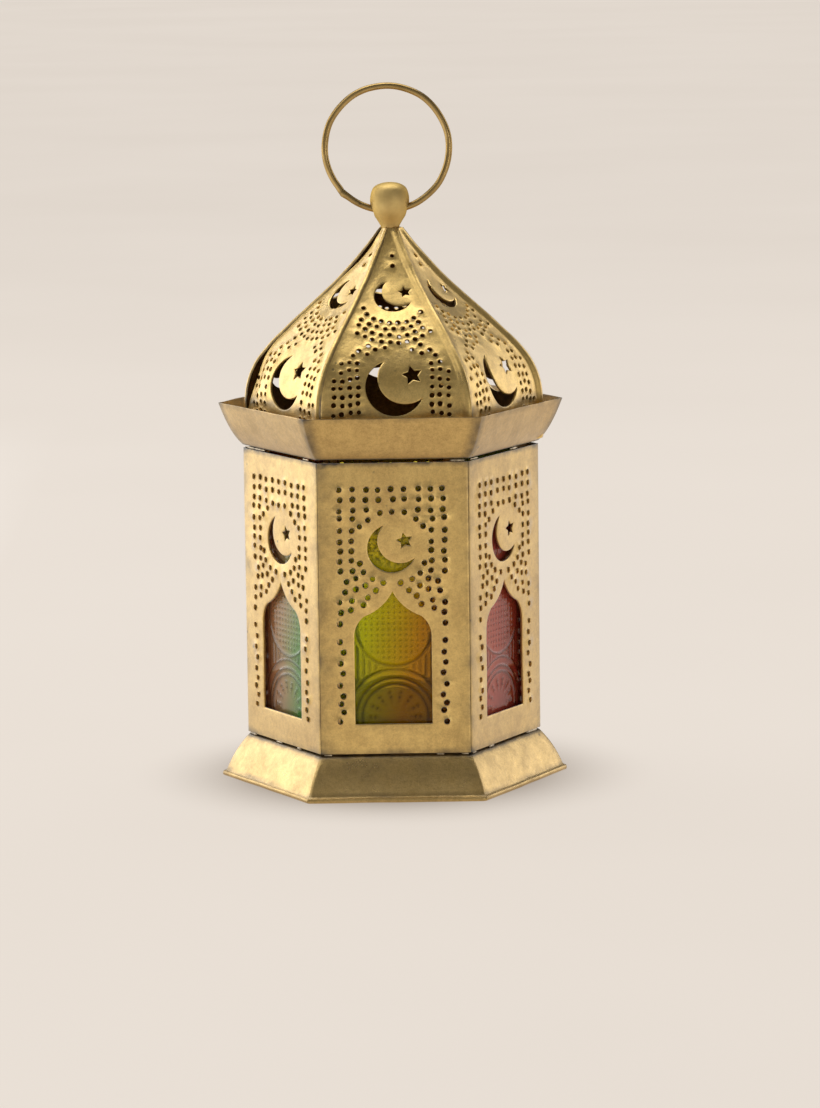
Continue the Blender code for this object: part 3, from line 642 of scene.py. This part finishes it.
def make_panel(side):
    """One pierced side. Its upright edges bend round to meet the neighbours."""
    is_door = side == "rear"
    source = "door_panel" if is_door else f"panel_{side}"
    low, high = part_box(source)
    foot, top = 0.25 * MM + low.z - BODY_FOOT, high.z - BODY_FOOT - 0.35 * MM
    seed = 11.0 + SIDES[side]
    chance = random.Random(int(seed))
    half = PANEL_HALF - (0.2 * MM if is_door else 0)
    inset = half - BEND_START
    levels = np.linspace(foot, top, 44)
    outline = [(x, foot) for x in np.linspace(-BEND_START, BEND_START, 20)]
    outline += [(half, y) for y in levels]
    outline += [(x, top) for x in np.linspace(BEND_START, -BEND_START, 20)]
    outline += [(-half, y) for y in levels[::-1]]
    columns = [BEND_START + inset * k for k in (0.0, 0.33, 0.66)]
    lines = [[(sign * x, y) for y in levels[1:-1]] for x in columns for sign in (1, -1)]
    centre = PANEL_CENTRE
    if side != "front":
        centre += chance.uniform(-0.25, 0.25) * MM
    openings = [keel_arch(), crescent(0, 62.1 * MM, 7.3 * MM), star(3.8 * MM, 64.4 * MM, 2.5 * MM)]
    openings = [[(x + centre, y) for x, y in loop] for loop in openings]
    holes = [(u + centre, v, r, d) for u, v, r, d in panel_holes(chance, fitting_boxes(side))]
    if is_door:
        rivet_low, rivet_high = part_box("latch_rivet")
        rivet = turned_to(side).inverted() @ ((rivet_low + rivet_high) / 2)
        holes.append((rivet.x, rivet.z - BODY_FOOT, 1.0 * MM, 0.05 * MM))

    turn = turned_to(side)

    def place(u, v, lift, back):
        lift += dented(u, v, PANEL_DENTS, seed)
        lift *= min(1.0, (BODY_HALF - abs(u)) / (3 * MM) + 0.15) if lift > -0.1 * MM else 1.0
        out = lift - back
        bend = max(0.0, abs(u) - BEND_START) / CORNER_BEND
        across = copysign(min(abs(u), BEND_START) + (CORNER_BEND + out) * sin(bend), u)
        depth = APOTHEM - CORNER_BEND + (CORNER_BEND + out) * cos(bend)
        return turn @ Vector((across, -depth, BODY_FOOT + v))

    def grime_and_shade_at(u, v):
        # Real stains, with painted shade: a dark line in the gap under the collar, another over the skirt,
        # and the sheet darker towards the collar. The seam at each fold is a dark joint, and a band beside
        # each fold is darker.
        stain = max(0.0, wavy(u, v, seed, 7 * MM, seed))
        fold = bell(half - abs(u), 0.8 * MM) * 0.42 * (0.35 + stain)
        top_line = bell(top - v, 0.35 * MM) * 0.9 * (0.5 + stain)
        foot_line = bell(v - foot, 0.4 * MM) * 0.6 * (0.4 + stain)
        left = bell(u + half - 2 * MM, 2.6 * MM) * max(0.0, wavy(u, v, 3.0, 5 * MM, seed)) * 0.4
        beside_fold = bell(half - abs(u) - 1.6 * MM, 2.2 * MM) * 0.1 * (0.7 + stain)
        under_collar = bell(top - v, 13 * MM) * 0.085
        return fold + top_line + foot_line + left + beside_fold + under_collar

    pierced_sheet(f"pierced_side_{side}", source, ("side_brass", "inner_brass"), outline, openings, holes,
                  lines, place, grime_and_shade_at)


# Roof

# Corner radius and height of the roof from its upright edge to the tip, in millimetres
ROOF_LINE = [
    (44.7, 102.8), (44.7, 106.0), (44.7, 110.0), (44.68, 113.5), (44.5, 117.0), (43.95, 120.3),
    (42.8, 123.7), (41.1, 127.0), (38.9, 129.9), (36.2, 132.9), (32.8, 136.2), (28.9, 139.9),
    (23.9, 144.3), (18.9, 148.9), (14.0, 153.8), (9.8, 158.6), (6.0, 163.5), (3.3, 167.2),
]
RIB_REACH = 0.4 * MM  # how far a rib lies over the neighbouring gore
# Section of a rib in millimetres: distance from the gore's right edge, and height
RIB_SHAPE = [
    (0.0, 0.30), (0.22, 0.66), (0.55, 0.92), (1.0, 1.02), (1.5, 0.95), (1.95, 0.70), (2.35, 0.38),
    (2.75, 0.12), (3.15, 0.0),
]


def roof_curve():
    """Distance from the tip, apothem and height along the middle of a gore."""
    line = [(r * MM * cos(SIXTH), z * MM) for r, z in smooth_line(ROOF_LINE, 6)][::-1]
    run, table = 0.0, []
    for i, point in enumerate(line):
        if i:
            run += dist(point, line[i - 1])
        table.append((run, *point))
    return np.array(table)


ROOF = roof_curve()
ROOF_LENGTH = ROOF[-1, 0]


def on_roof(run):
    """Apothem and height at a distance from the tip."""
    return np.array([np.interp(run, ROOF[:, 0], ROOF[:, k]) for k in (1, 2)])


def roof_at(run):
    """Apothem, height and outward normal at a distance from the tip."""
    out, up = on_roof(run)
    along = on_roof(min(run + 0.4 * MM, ROOF_LENGTH)) - on_roof(max(run - 0.4 * MM, 0.0))
    length = hypot(*along)
    return out, up, -along[1] / length, along[0] / length


def rib_lift(distance):
    xs, ys = zip(*RIB_SHAPE)
    return float(np.interp(distance / MM, xs, ys)) * MM


# The pattern of a gore, in millimetres across and down from the tip: holes, then each crescent's place
# down and its radius, then each star's place across, its place down and its radius
GORE_TIP_HOLES = [(0, 6.2), (0, 9.3), (0, 12.9), (2.6, 13.1)]
UPPER_MOON, LOWER_MOON = (23.8, 5.7), (56.0, 8.8)
UPPER_STAR, LOWER_STAR = (3.5, 22.2, 2.0), (5.1, 52.4, 3.2)
# How far across and up the crescents and stars of some gores are off their place
PUNCH_OFF = {"rear": (2.5, 2.5), "rear_left": (2.5, 2.5), "rear_right": (1.5, 0.0)}


def gore_holes(chance, half_at):
    """Holes near the tip, in arcs under the upper crescent, beside the lower one, and in arcs over that."""
    under, over = UPPER_MOON[0], LOWER_MOON[0]
    spots = list(GORE_TIP_HOLES)
    for k, radius in enumerate((10.2, 12.6, 15.0, 17.4)):
        reach = radians(80 - 8 * k)
        count = round(2 * reach * radius / 2.6)
        for i in range(count + 1):
            angle = -reach + 2 * reach * i / count
            spots.append((radius * sin(angle), under + radius * cos(angle)))
    spots += [(sign * x, 48.2 + 2.6 * i + 0.5 * (x > 14)) for x in (11.0, 13.4, 15.8, 18.1)
              for i in range(9) for sign in (1, -1)]
    for radius in (13.4, 16.0):
        angles = [angle for angle in evenly(round(2 * pi * radius / 2.8)) if cos(angle) < 0.2]
        spots += [(radius * sin(angle), over + radius * cos(angle)) for angle in angles]
    holes = []
    for x, run in spots:
        across, down = (value * MM + chance.gauss(0, 0.16 * MM) for value in (x, run))
        radius = 0.69 * MM * chance.uniform(0.9, 1.1)
        rib = 4.0 * MM if across > 0 else 2.4 * MM
        on_gore = half_at(down) - abs(across) > rib and down < ROOF_LENGTH - 8 * MM
        clear = all(hypot(across - a, down - b) > 2.1 * MM for a, b, _, _ in holes)
        off_moon = hypot(across, down - over * MM) > 10.6 * MM or down < 42 * MM
        if on_gore and clear and off_moon:
            holes.append((across, down, radius, chance.uniform(0.12, 0.2) * MM))
    return holes


def clear_of(hole, loop):
    """Whether a hole keeps its distance from an opening."""
    across, down, radius, _ = hole
    return min(dist((across, down), point) for point in loop) > radius + 0.75 * MM


def gore_gap(side, run):
    """How far a gore's left edge stands away from the rib beside it."""
    if side != "front_left":
        return 0.0
    return 2.6 * MM * bell(run - 57 * MM, 8 * MM) + 1.4 * MM * bell(run - 8 * MM, 7 * MM) + 0.25 * MM


def make_gore(side):
    """One pierced gore of the roof, with a raised rib along its right edge."""
    seed = 31.0 + SIDES[side]
    chance = random.Random(int(seed))
    turn = turned_to(side)

    def half_at(run):
        return on_roof(run)[0] * tan(SIXTH)

    def left_at(run):
        ragged = 0.10 * MM * wavy(run, 0, 0, 2.2 * MM, seed)
        return -half_at(run) + JOIN + gore_gap(side, run) + ragged

    def right_at(run):
        return half_at(run) + RIB_REACH

    runs = np.linspace(0, ROOF_LENGTH, 58)
    outline = [(x, 0.0) for x in np.linspace(left_at(0), right_at(0), 4)]
    outline += [(right_at(s), s) for s in runs[1:-1]]
    foot = np.linspace(right_at(ROOF_LENGTH), left_at(ROOF_LENGTH), 24)
    outline += [(x, ROOF_LENGTH) for x in foot]
    outline += [(left_at(s), s) for s in runs[-2:0:-1]]
    lines = []
    for distance, _ in RIB_SHAPE[1:]:
        rib = [(right_at(s) - distance * MM, s) for s in runs[1:-1]]
        lines.append([(x, s) for x, s in rib if x > left_at(s) + 0.3 * MM])
    lines += [[(left_at(s) + d, s) for s in runs[4:-1]] for d in (0.22 * MM, 0.6 * MM)]
    openings = []
    right, up = PUNCH_OFF.get(side, (0.0, 0.0))
    pairs = (UPPER_MOON, UPPER_STAR), (LOWER_MOON, LOWER_STAR)
    for (down, radius), (across, star_down, star_radius) in pairs:
        moon = crescent(right * MM, 0, radius * MM, 26)
        spark = star((across + right) * MM, 0, star_radius * MM)
        openings.append([(x, (down - up) * MM - y) for x, y in moon])
        openings.append([(x, (star_down - up) * MM - y) for x, y in spark])
    holes = [h for h in gore_holes(chance, half_at) if all(clear_of(h, loop) for loop in openings)]

    def place(u, v, lift, back):
        out, up, normal_out, normal_up = roof_at(v)
        from_right = right_at(v) - u
        from_left = u - left_at(v)
        lift += dented(u, v, GORE_DENTS, seed)
        tip = min(1.0, 0.45 + v / (22 * MM))
        lift += rib_lift(from_right) * tip * (1 + 0.12 * wavy(v, 0, 0, 9 * MM, seed + 5))
        lip = bell(from_left, 0.35 * MM) * (0.22 + 0.12 * wavy(v, 0, 0, 2.5 * MM, seed + 9)) * MM
        sunk = gore_gap(side, v) * 0.35 * bell(from_left, 4 * MM)
        lift += lip - sunk - back
        point = Vector((u, -(out + lift * normal_out), up + lift * normal_up))
        return turn @ point + ROOF_SHIFT

    def grime_and_shade_at(u, v):
        # Painted shade under the edges where a rib lies over the next gore, with uneven dirt, and darker
        # where the roof goes down into the collar.
        from_left, from_right = u - left_at(v), right_at(v) - u
        stain = 0.5 + wavy(v, u, 0, 5 * MM, seed)
        crack = 0.5 * bell(from_right, 0.12 * MM) + 0.22 * bell(from_left - 0.5 * MM, 0.3 * MM) * stain
        foot = 0.55 * bell(COLLAR_TOP - roof_at(v)[1], 2.2 * MM) if v > 40 * MM else 0.0
        return crack + foot * (0.35 + 0.5 * stain)

    pierced_sheet(f"pierced_gore_{side}", f"roof_gore_{side}", ("roof_brass", "sooty_brass"), outline,
                  openings, holes, lines, place, grime_and_shade_at)


# Skirt and collar


def hexagon(radius, bend, across_steps=16, bend_steps=3):
    """Points round a hexagon with rounded corners: (x, y, share of the way from a corner to the next)."""
    straight = radius / 2 - bend * tan(SIXTH)
    points = []
    for angle in SIDES.values():
        turn = Matrix.Rotation(radians(angle), 2)
        for i in range(across_steps + 1):
            x = -straight + 2 * straight * i / across_steps
            points.append((*(turn @ Vector((x, -radius * cos(SIXTH)))), i / across_steps))
        centre = Vector((straight, -(radius * cos(SIXTH) - bend)))
        for i in range(1, bend_steps + 1):
            theta = -pi / 2 + 2 * SIXTH * i / (bend_steps + 1)
            points.append((*(turn @ (centre + bend * Vector((cos(theta), sin(theta))))), 1.0))
    return points


def hex_shell(name, source, look, profile, seed, corner_dark, grime_and_shade_at):
    """A closed section of (corner radius, height, corner bend, wave share) carried round the hexagon."""
    wave = 0.2 * MM
    vertices, grime_and_shade = [], []
    for radius, height, bend, share in profile:
        for x, y, part in hexagon(radius, bend):
            # The waves are the same through the sheet's thickness, so the wall keeps it
            push = share * wave * (wavy(x, y, 0, 16 * MM, seed) + 0.4 * wavy(x, y, height, 6 * MM, seed))
            rise = share * 0.9 * wave * wavy(x, y, 0, 11 * MM, seed + 4)
            flat = Vector((x, y))
            flat += flat.normalized() * push
            vertices.append((flat.x, flat.y, height + rise))
            corner = corner_dark * bell(min(part, 1 - part) * radius, 0.45 * MM)
            grime_and_shade.append(corner + grime_and_shade_at(x, y, height))
    faces = netted(len(profile), len(vertices) // len(profile), closed=True)
    piece(name, vertices, faces, [BRASS[look]], "skirt_brass", source, sharp=34, marks={"grime_and_shade": grime_and_shade})


def make_skirt():
    """The flared foot, with the turned hem that it stands on."""
    top = BASE_TOP - 0.1 * MM
    wall = pulled((44.8 * MM, top - 0.3 * MM), (48.9 * MM, 8.4 * MM), (51.7 * MM, 1.9 * MM), 12)
    hem = [(52.1, 1.45), (52.8, 1.2), (53.0, 0.75), (53.0, 0.25), (52.85, 0.0)]
    hem = [(r * MM, z * MM) for r, z in hem]
    scale = FOOT_RADIUS / (53.0 * MM)
    outside = [(r * scale, z) for r, z in [(44.2 * MM, top)] + wall + hem]
    section = [(39.9 * MM, top, 0.3 * MM, 0.0)]
    section += [(r, z, 1.5 * MM, min(1.0, 0.25 + (top - z) / (9 * MM))) for r, z in outside]
    section += [(50.6 * MM, 0.0, 0.4 * MM, 0.7), (50.6 * MM, 0.6 * MM, 0.4 * MM, 0.7)]
    section += [(r - 0.75 * MM, z - 0.1 * MM, 0.3 * MM, 0.6) for r, z in wall[::-1][1:]]
    section += [(39.9 * MM, top - 0.7 * MM, 0.3 * MM, 0.0)]

    def grime_and_shade_at(x, y, height):
        # Painted shadow in the gap under the body, and a darker, uneven line where the wall turns into the
        # hem
        seam = bell(top - height, 0.8 * MM) * 0.8
        hem_line = bell(height - 1.7 * MM, 0.45 * MM) * 0.45
        return seam + hem_line * (0.6 + wavy(x, y, 0, 9 * MM, 3.0))

    hex_shell("flared_skirt", "base_skirt", "skirt_brass", section, 5.0, 0.1, grime_and_shade_at)


def make_collar():
    """The collar that flares out round the roof's foot."""
    foot = COLLAR_FOOT + 0.3 * MM
    brim = (52.3 * MM, COLLAR_TOP - 0.15 * MM)
    wall = pulled((45.0 * MM, foot + 0.1 * MM), (48.6 * MM, 105.0 * MM), brim, 12)
    inner = [(r - 0.72 * MM, z + 0.12 * MM) for r, z in wall[::-1][1:-2]]
    section = [(39.9 * MM, foot, 0.3 * MM, 0.0)]
    section += [(r, z, 0.9 * MM, min(1.0, 0.2 + (z - foot) / (9 * MM))) for r, z in wall]
    section += [(52.2 * MM, COLLAR_TOP, 0.4 * MM, 1.0), (51.8 * MM, COLLAR_TOP, 0.4 * MM, 1.0)]
    section += [(r, z, 0.3 * MM, min(1.0, 0.2 + (z - foot) / (9 * MM))) for r, z in inner]
    section += [(r * MM, foot + 0.75 * MM, 0.3 * MM, 0.0) for r in (44.2, 39.9)]

    def grime_and_shade_at(x, y, height):
        # Painted shadow in the gap at the collar's foot, and a darker, uneven top rim
        under = bell(height - foot, 0.3 * MM) * 0.9
        rim = bell(COLLAR_TOP - height, 0.25 * MM) * 0.5
        return under + rim * (0.5 + wavy(x, y, 0, 4 * MM, 2.0))

    hex_shell("flared_collar", "collar", "collar_brass_painted_darker", section, 9.0, 0.5, grime_and_shade_at)


# Glass


def roundel(u, v, centre, rings, spokes):
    """Height of a round pattern at a point, in millimetres, and the distance to its centre.

    Inside its rings it has spokes, or a grid of dots when there are none.
    """
    reach = hypot(u, v - centre)
    height = sum(bell(reach - r, 0.42) for r in rings)
    if spokes:
        inside = exp(-((reach - 6.4) / 1.9) ** 4)
        spoke = max(0.0, cos(spokes * atan2(v - centre, u)))
        height += inside * spoke * (0.6 + 0.4 * cos(reach * 4.2))
    elif reach < rings[0] - 1.4:
        height += 1.1 * max(0.0, cos(pi * u / 0.85)) * max(0.0, cos(pi * v / 0.85))
    return height, reach


# Centre, rings and number of spokes of each pattern on a pane, from the foot up, in millimetres
ROUNDELS = (
    (11.0, (14.3, 11.6, 9.8), 14), (38.0, (11.6,), 0), (64.5, (14.3, 11.6, 9.8), 14), (91.0, (11.6,), 0),
)


def pressed(u, v):
    """Height of the pressed pattern at a point of a pane, u across and v up, in millimetres."""
    total, nearest = 0.0, 99.0
    for centre, rings, spokes in ROUNDELS:
        if abs(v - centre) < 16:
            height, reach = roundel(u, v, centre, rings, spokes)
            total = max(total, height)
            nearest = min(nearest, reach - rings[0])
    if nearest > 0.8:
        total = max(total, 0.35 + 0.35 * cos(2 * pi * u / 1.9))
    return min(1.2, total)


def make_pane(side):
    """A pressed-glass pane with its pattern on the outer face."""
    source = "glass_door" if side == "rear" else f"glass_{side}"
    turn, local = turned_to(side), corners_of(source, side)
    half = max(p.x for p in local)
    foot, top = min(p.z for p in local), max(p.z for p in local)
    face, back = min(p.y for p in local), max(p.y for p in local)
    step = 0.45 * MM
    deep = 0.2 * MM if side in ("front", "rear") else 0.3 * MM
    columns, rows = int(2 * half / step), int((top - foot) / step)
    flat, vertices, raised = [], [], []
    for j in range(rows + 1):
        for i in range(columns + 1):
            x, z = -half + 2 * half * i / columns, foot + (top - foot) * j / rows
            edge = i in (0, columns) or j in (0, rows)
            relief = 0.0 if edge else pressed(x / MM, (z - BODY_FOOT) / MM)
            flat.append((x, z))
            raised.append(0.85 * min(1.0, relief))
            vertices.append(turn @ Vector((x, face + 0.2 * MM - deep * relief, z)))
    wide, first = columns + 1, len(vertices)
    rim = list(range(columns)) + [j * wide + columns for j in range(rows)]
    rim += [rows * wide + i for i in range(columns, 0, -1)] + [j * wide for j in range(rows, 0, -1)]
    count = len(rim)
    vertices += [turn @ Vector((flat[i][0], back - 0.1 * MM, flat[i][1])) for i in rim]
    faces = netted(rows + 1, wide, wrap=False)
    faces += [(rim[k], rim[(k + 1) % count], first + (k + 1) % count, first + k) for k in range(count)]
    faces.append(tuple(range(first, first + count)))
    slot, look = GLASS[side]
    marks = {"raised": raised + [0.0] * count}
    piece(f"pressed_{source}", vertices, faces, [look], slot, source, marks=marks)


# Bead, ring and turned fittings


def revolved(profile, steps, moved=None):
    """Vertices and faces of a (radius, height) line turned about Z. Its ends lie on the axis."""
    vertices = [(0, 0, profile[0][1])]
    for radius, height in profile[1:-1]:
        vertices += [(radius * cos(a), radius * sin(a), height) for a in evenly(steps)]
    vertices.append((0, 0, profile[-1][1]))
    last = len(vertices) - 1
    faces = []
    for i in range(steps):
        j = (i + 1) % steps
        faces.append((0, 1 + i, 1 + j))
        for k in range(len(profile) - 3):
            a = 1 + k * steps
            faces.append((a + i, a + steps + i, a + steps + j, a + j))
        a = 1 + (len(profile) - 3) * steps
        faces.append((a + i, last, a + j))
    if moved:
        vertices = [moved(Vector(v)) for v in vertices]
    return vertices, faces


# Worn places over the ends of the ring's hole: end, depth and height above the hole's middle
DENTS_BY_HOLE = ((1, 0.45 * MM, 1.8 * MM), (-1, 0.15 * MM, 0.8 * MM))


def make_bead():
    """The pear-shaped bead, worn round the ring's hole and a little dented."""
    drop = BEAD_TOP - 181.0 * MM
    line = [
        (0, 181.0), (2.1, 180.75), (3.8, 180.15), (4.9, 179.3), (5.5, 178.1), (5.85, 176.6), (5.95, 175.1),
        (5.8, 173.5), (5.35, 172.1), (4.6, 170.7), (3.7, 169.3), (2.95, 168.0), (2.5, 166.9), (1.8, 166.0),
        (1.6, 160.4), (0, 160.4),
    ]
    line = [(r * MM, z * MM + drop) for r, z in smooth_line(line, 4)]
    hole_height = RING_LOW.z + 1.0 * MM

    def moved(point):
        worn = point.copy()
        for sign, deep, above in DENTS_BY_HOLE:
            spot = Vector((sign * 5.6 * MM, -1.6 * MM, hole_height + above))
            worn.x -= sign * deep * bell((point - spot).length, 1.6 * MM)
        worn += point.normalized() * 0.06 * MM * wavy(point.x, point.y, point.z, 4 * MM, 2.0)
        return worn + 0.6 * ROOF_SHIFT

    vertices, faces = revolved(line, 56, moved)
    bead = piece("worn_bead", vertices, faces, [BRASS["bead_brass"]], "bead_brass", "finial_bead")
    tool_mesh = bpy.data.meshes.new("ring_hole")
    bm = bmesh.new()
    drill = 1.75 * MM
    aim = Matrix.Translation((0, 0, hole_height)) @ Matrix.Rotation(pi / 2, 4, "Y")
    bmesh.ops.create_cone(bm, cap_ends=True, segments=28, radius1=drill, radius2=drill, depth=30 * MM,
                          matrix=aim)
    bm.to_mesh(tool_mesh)
    bm.free()
    tool = added("ring_hole", tool_mesh)
    cut = bead.modifiers.new("ring_hole", "BOOLEAN")
    cut.operation, cut.solver, cut.object = "DIFFERENCE", "EXACT", tool
    graph = bpy.context.evaluated_depsgraph_get()
    drilled = bpy.data.meshes.new_from_object(bead.evaluated_get(graph))
    bead.modifiers.clear()
    bead.data = drilled
    bpy.data.objects.remove(tool)
    drilled.shade_smooth()
    drilled.set_sharp_from_angle(angle=radians(45))


def make_ring():
    """The wire ring, drawn once round and closed with a soldered joint at the lower left."""
    centre = (RING_LOW + RING_HIGH) / 2
    wire = (RING_HIGH.y - RING_LOW.y) / 2
    major = (RING_HIGH.z - RING_LOW.z) / 2 - wire
    joint = radians(225)
    around, across = 150, 14
    vertices, grime_and_shade = [], []
    for angle in evenly(around):
        off = (angle - joint + pi) % (2 * pi) - pi
        lump, groove = bell(off, 0.075), bell(off + 0.03, 0.014)
        bent = 0.14 * MM * wavy(3 * cos(angle), 3 * sin(angle), 0, 1.0, 6.0)
        reach = major + bent + 0.3 * MM * lump
        thickness = wire * (0.98 + 0.16 * lump - 0.12 * groove)
        for roll in evenly(across):
            out = reach + thickness * cos(roll)
            vertices.append((centre.x + out * cos(angle), centre.y + thickness * sin(roll) * 0.97,
                             centre.z + out * sin(angle)))
            grime_and_shade.append(0.5 * groove + 0.35 * lump * max(0.0, wavy(angle * 9, roll, 0, 0.6, 1.0)))
    faces = netted(around, across, closed=True)
    piece("wire_ring", vertices, faces, [BRASS["wire_brass"]], "wire_brass", "handle_ring", sharp=60,
          marks={"grime_and_shade": grime_and_shade})


def make_knob():
    """The turned knob on the door, with a bead line round its rim."""
    low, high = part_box("door_knob")
    centre = (low + high) / 2
    reach = (high.z - low.z) / 2 / 2.6
    length = high.y - low.y
    line = [
        (0, 1.0), (0.8, 0.99), (1.5, 0.95), (2.1, 0.88), (2.48, 0.79), (2.6, 0.70), (2.5, 0.62),
        (2.2, 0.54), (1.5, 0.47), (1.15, 0.40), (1.05, 0.28), (1.25, 0.20), (1.8, 0.13), (2.05, 0.08),
        (2.05, 0.0), (0, 0.0),
    ]
    line = [(r * reach, z * length) for r, z in smooth_line(line, 3)]
    out = Matrix.Translation((centre.x, low.y, centre.z)) @ Matrix.Rotation(-pi / 2, 4, "X")
    vertices, faces = revolved(line, 40, lambda point: out @ point)
    piece("turned_knob", vertices, faces, [BRASS["fitting_brass"]], "fitting_brass", "door_knob", sharp=45)


# Solder along the seams


def solder_run(name, side, start, end, height, size, seed):
    """An uneven line of solder between two places across a side, along a seam."""
    steps, across = max(8, int((end - start) / (0.6 * MM))), 8
    turn, out = turned_to(side), APOTHEM - 0.25 * MM
    vertices = []
    for i in range(steps + 1):
        t = i / steps
        taper = sqrt(max(0.0, 1 - (2 * t - 1) ** 4))
        uneven = 0.8 + 0.45 * wavy(t * (end - start), 0, 0, 2.4 * MM, seed)
        thickness = size * (0.25 + 0.75 * taper) * uneven
        thickness = max(thickness, 0.12 * MM) * (1 if 0 < i < steps else 0.05)
        for roll in evenly(across):
            vertices.append(turn @ Vector((
                start + (end - start) * t, -(out + 0.7 * thickness * cos(roll)),
                height + thickness * sin(roll) * (1 + 0.3 * wavy(t * 9, roll, 0, 1.0, seed)),
            )))
    faces = [tuple(range(across))[::-1], tuple(range(steps * across, (steps + 1) * across))]
    faces += netted(steps + 1, across)
    grime_and_shade = [0.25 + 0.5 * wavy(*v, 1.5 * MM, seed) for v in vertices]
    piece(name, vertices, faces, [BRASS["solder"]], "fitting_brass", sharp=60, marks={"grime_and_shade": grime_and_shade})


# Where solder fills the seams under the collar and on the skirt: from and to, in millimetres
COLLAR_SOLDER = {
    "front_left": ((-21.5, -9.0), (14.0, 17.5)), "front": ((17.0, 21.5),),
    "front_right": ((-21.0, -16.0), (4.0, 9.0)), "rear_right": ((-20.5, -14.0), (6.0, 12.0)),
    "rear_left": ((-16.0, -9.0), (13.0, 20.0)),
}
SKIRT_SOLDER = {
    "front_left": ((-21.5, -17.0), (-5.0, -1.0), (8.0, 10.5)),
    "front": ((-21.5, -19.0), (12.0, 14.5), (19.5, 21.8)),
    "front_right": ((-21.5, -19.0), (-11.0, -7.5), (13.0, 20.5)),
    "rear_right": ((-20.5, -13.0), (8.0, 13.0)), "rear_left": ((-12.0, -6.0), (15.0, 21.0)),
}


def make_solder():
    seams = {
        "collar": (COLLAR_SOLDER, BODY_TOP + 0.15 * MM, 0.36 * MM),
        "skirt": (SKIRT_SOLDER, BODY_FOOT - 0.1 * MM, 0.42 * MM),
    }
    for seam, (sides, height, size) in seams.items():
        runs = [(side, *run) for side, side_runs in sides.items() for run in side_runs]
        for i, (side, start, end) in enumerate(runs):
            solder_run(f"solder_{seam}_{i + 1}", side, start * MM, end * MM, height, size, 40.0 + i)


# CAD nodes that stay, with their finished materials


def dress_cad_nodes():
    for name, made in frame["nodes"].items():
        inside = "channel" in name or name in ("floor_plate", "candle_cup", "door_sill")
        if inside or name in FITTINGS and name != "door_knob":
            made.data.materials.clear()
            made.data.materials.append(BRASS["inner_brass" if inside else "fitting_brass"])


# Stage


def make_floor():
    mesh = bpy.data.meshes.new("floor")
    far = 60.0
    corners = [(-far, -far, 0), (far, -far, 0), (far, far, 0), (-far, far, 0)]
    mesh.from_pydata(corners, [], [(0, 1, 2, 3)])
    mesh.materials.append(plain_floor())
    floor = added("floor", mesh)
    floor.location.z = -0.05 * MM


# Soft lights: place, size, power in watts and colour. All point at the middle of the lantern.
LIGHT_AIM = Vector((0, 0, 0.09))
LIGHTS = {
    "key_left": ((-1.0, 0.62, 0.42), (1.3, 0.85), 6.6, (1.0, 0.99, 0.97)),
    "high_left": ((-0.9, -0.30, 0.95), (0.7, 0.6), 1.7, (1.0, 0.99, 0.97)),
    "fill_right": ((1.15, 0.62, 0.50), (0.8, 1.0), 3.4, (1.0, 0.97, 0.93)),
    "top": ((-0.1, 0.40, 1.45), (1.6, 1.4), 14.8, (1, 1, 1)),
    "front_low": ((-0.2, -2.0, 0.85), (2.2, 0.9), 1.5, (1, 1, 1)),
    "glint_right": ((0.48, -0.72, 0.13), (0.2, 0.2), 0.5, (1.0, 0.98, 0.95)),
}


def light_the_scene():
    world = bpy.data.worlds.new("studio")
    world.use_nodes = True
    background = world.node_tree.nodes["Background"]
    background.inputs["Color"].default_value = (0.93, 0.90, 0.86, 1)
    background.inputs["Strength"].default_value = 0.17
    bpy.context.scene.world = world
    for name, (place, size, power, colour) in LIGHTS.items():
        lamp = bpy.data.lights.new(name, "AREA")
        lamp.shape = "RECTANGLE"
        lamp.size, lamp.size_y = size
        lamp.energy = power
        lamp.color = colour
        made = added(name, lamp)
        made.location = place
        made.rotation_euler = (LIGHT_AIM - Vector(place)).to_track_quat("-Z", "Y").to_euler()


def make_camera():
    """A long lens from a little above, at the angle that shows three sides."""
    place = Vector((-14.63, -1370.2, 281.0)) * MM
    yaw, pitch, roll = radians(0.839), radians(8.855), radians(-0.716)
    lens = bpy.data.cameras.new("camera")
    lens.lens, lens.sensor_width = 147.76, 36.0
    lens.clip_start, lens.clip_end = 0.05, 300.0
    camera = added("camera", lens)
    camera.matrix_world = (
        Matrix.Translation(place) @ Matrix.Rotation(-yaw, 4, "Z")
        @ Matrix.Rotation(pi / 2 - pitch, 4, "X") @ Matrix.Rotation(roll, 4, "Z")
    )
    bpy.context.scene.camera = camera


make_camera()
light_the_scene()
make_floor()
for side_name in SIDES:
    make_panel(side_name)
    make_pane(side_name)
    make_gore(side_name)
make_skirt()
make_collar()
make_bead()
make_ring()
make_knob()
make_solder()
dress_cad_nodes()
bpy.context.scene.view_settings.view_transform = "Standard"
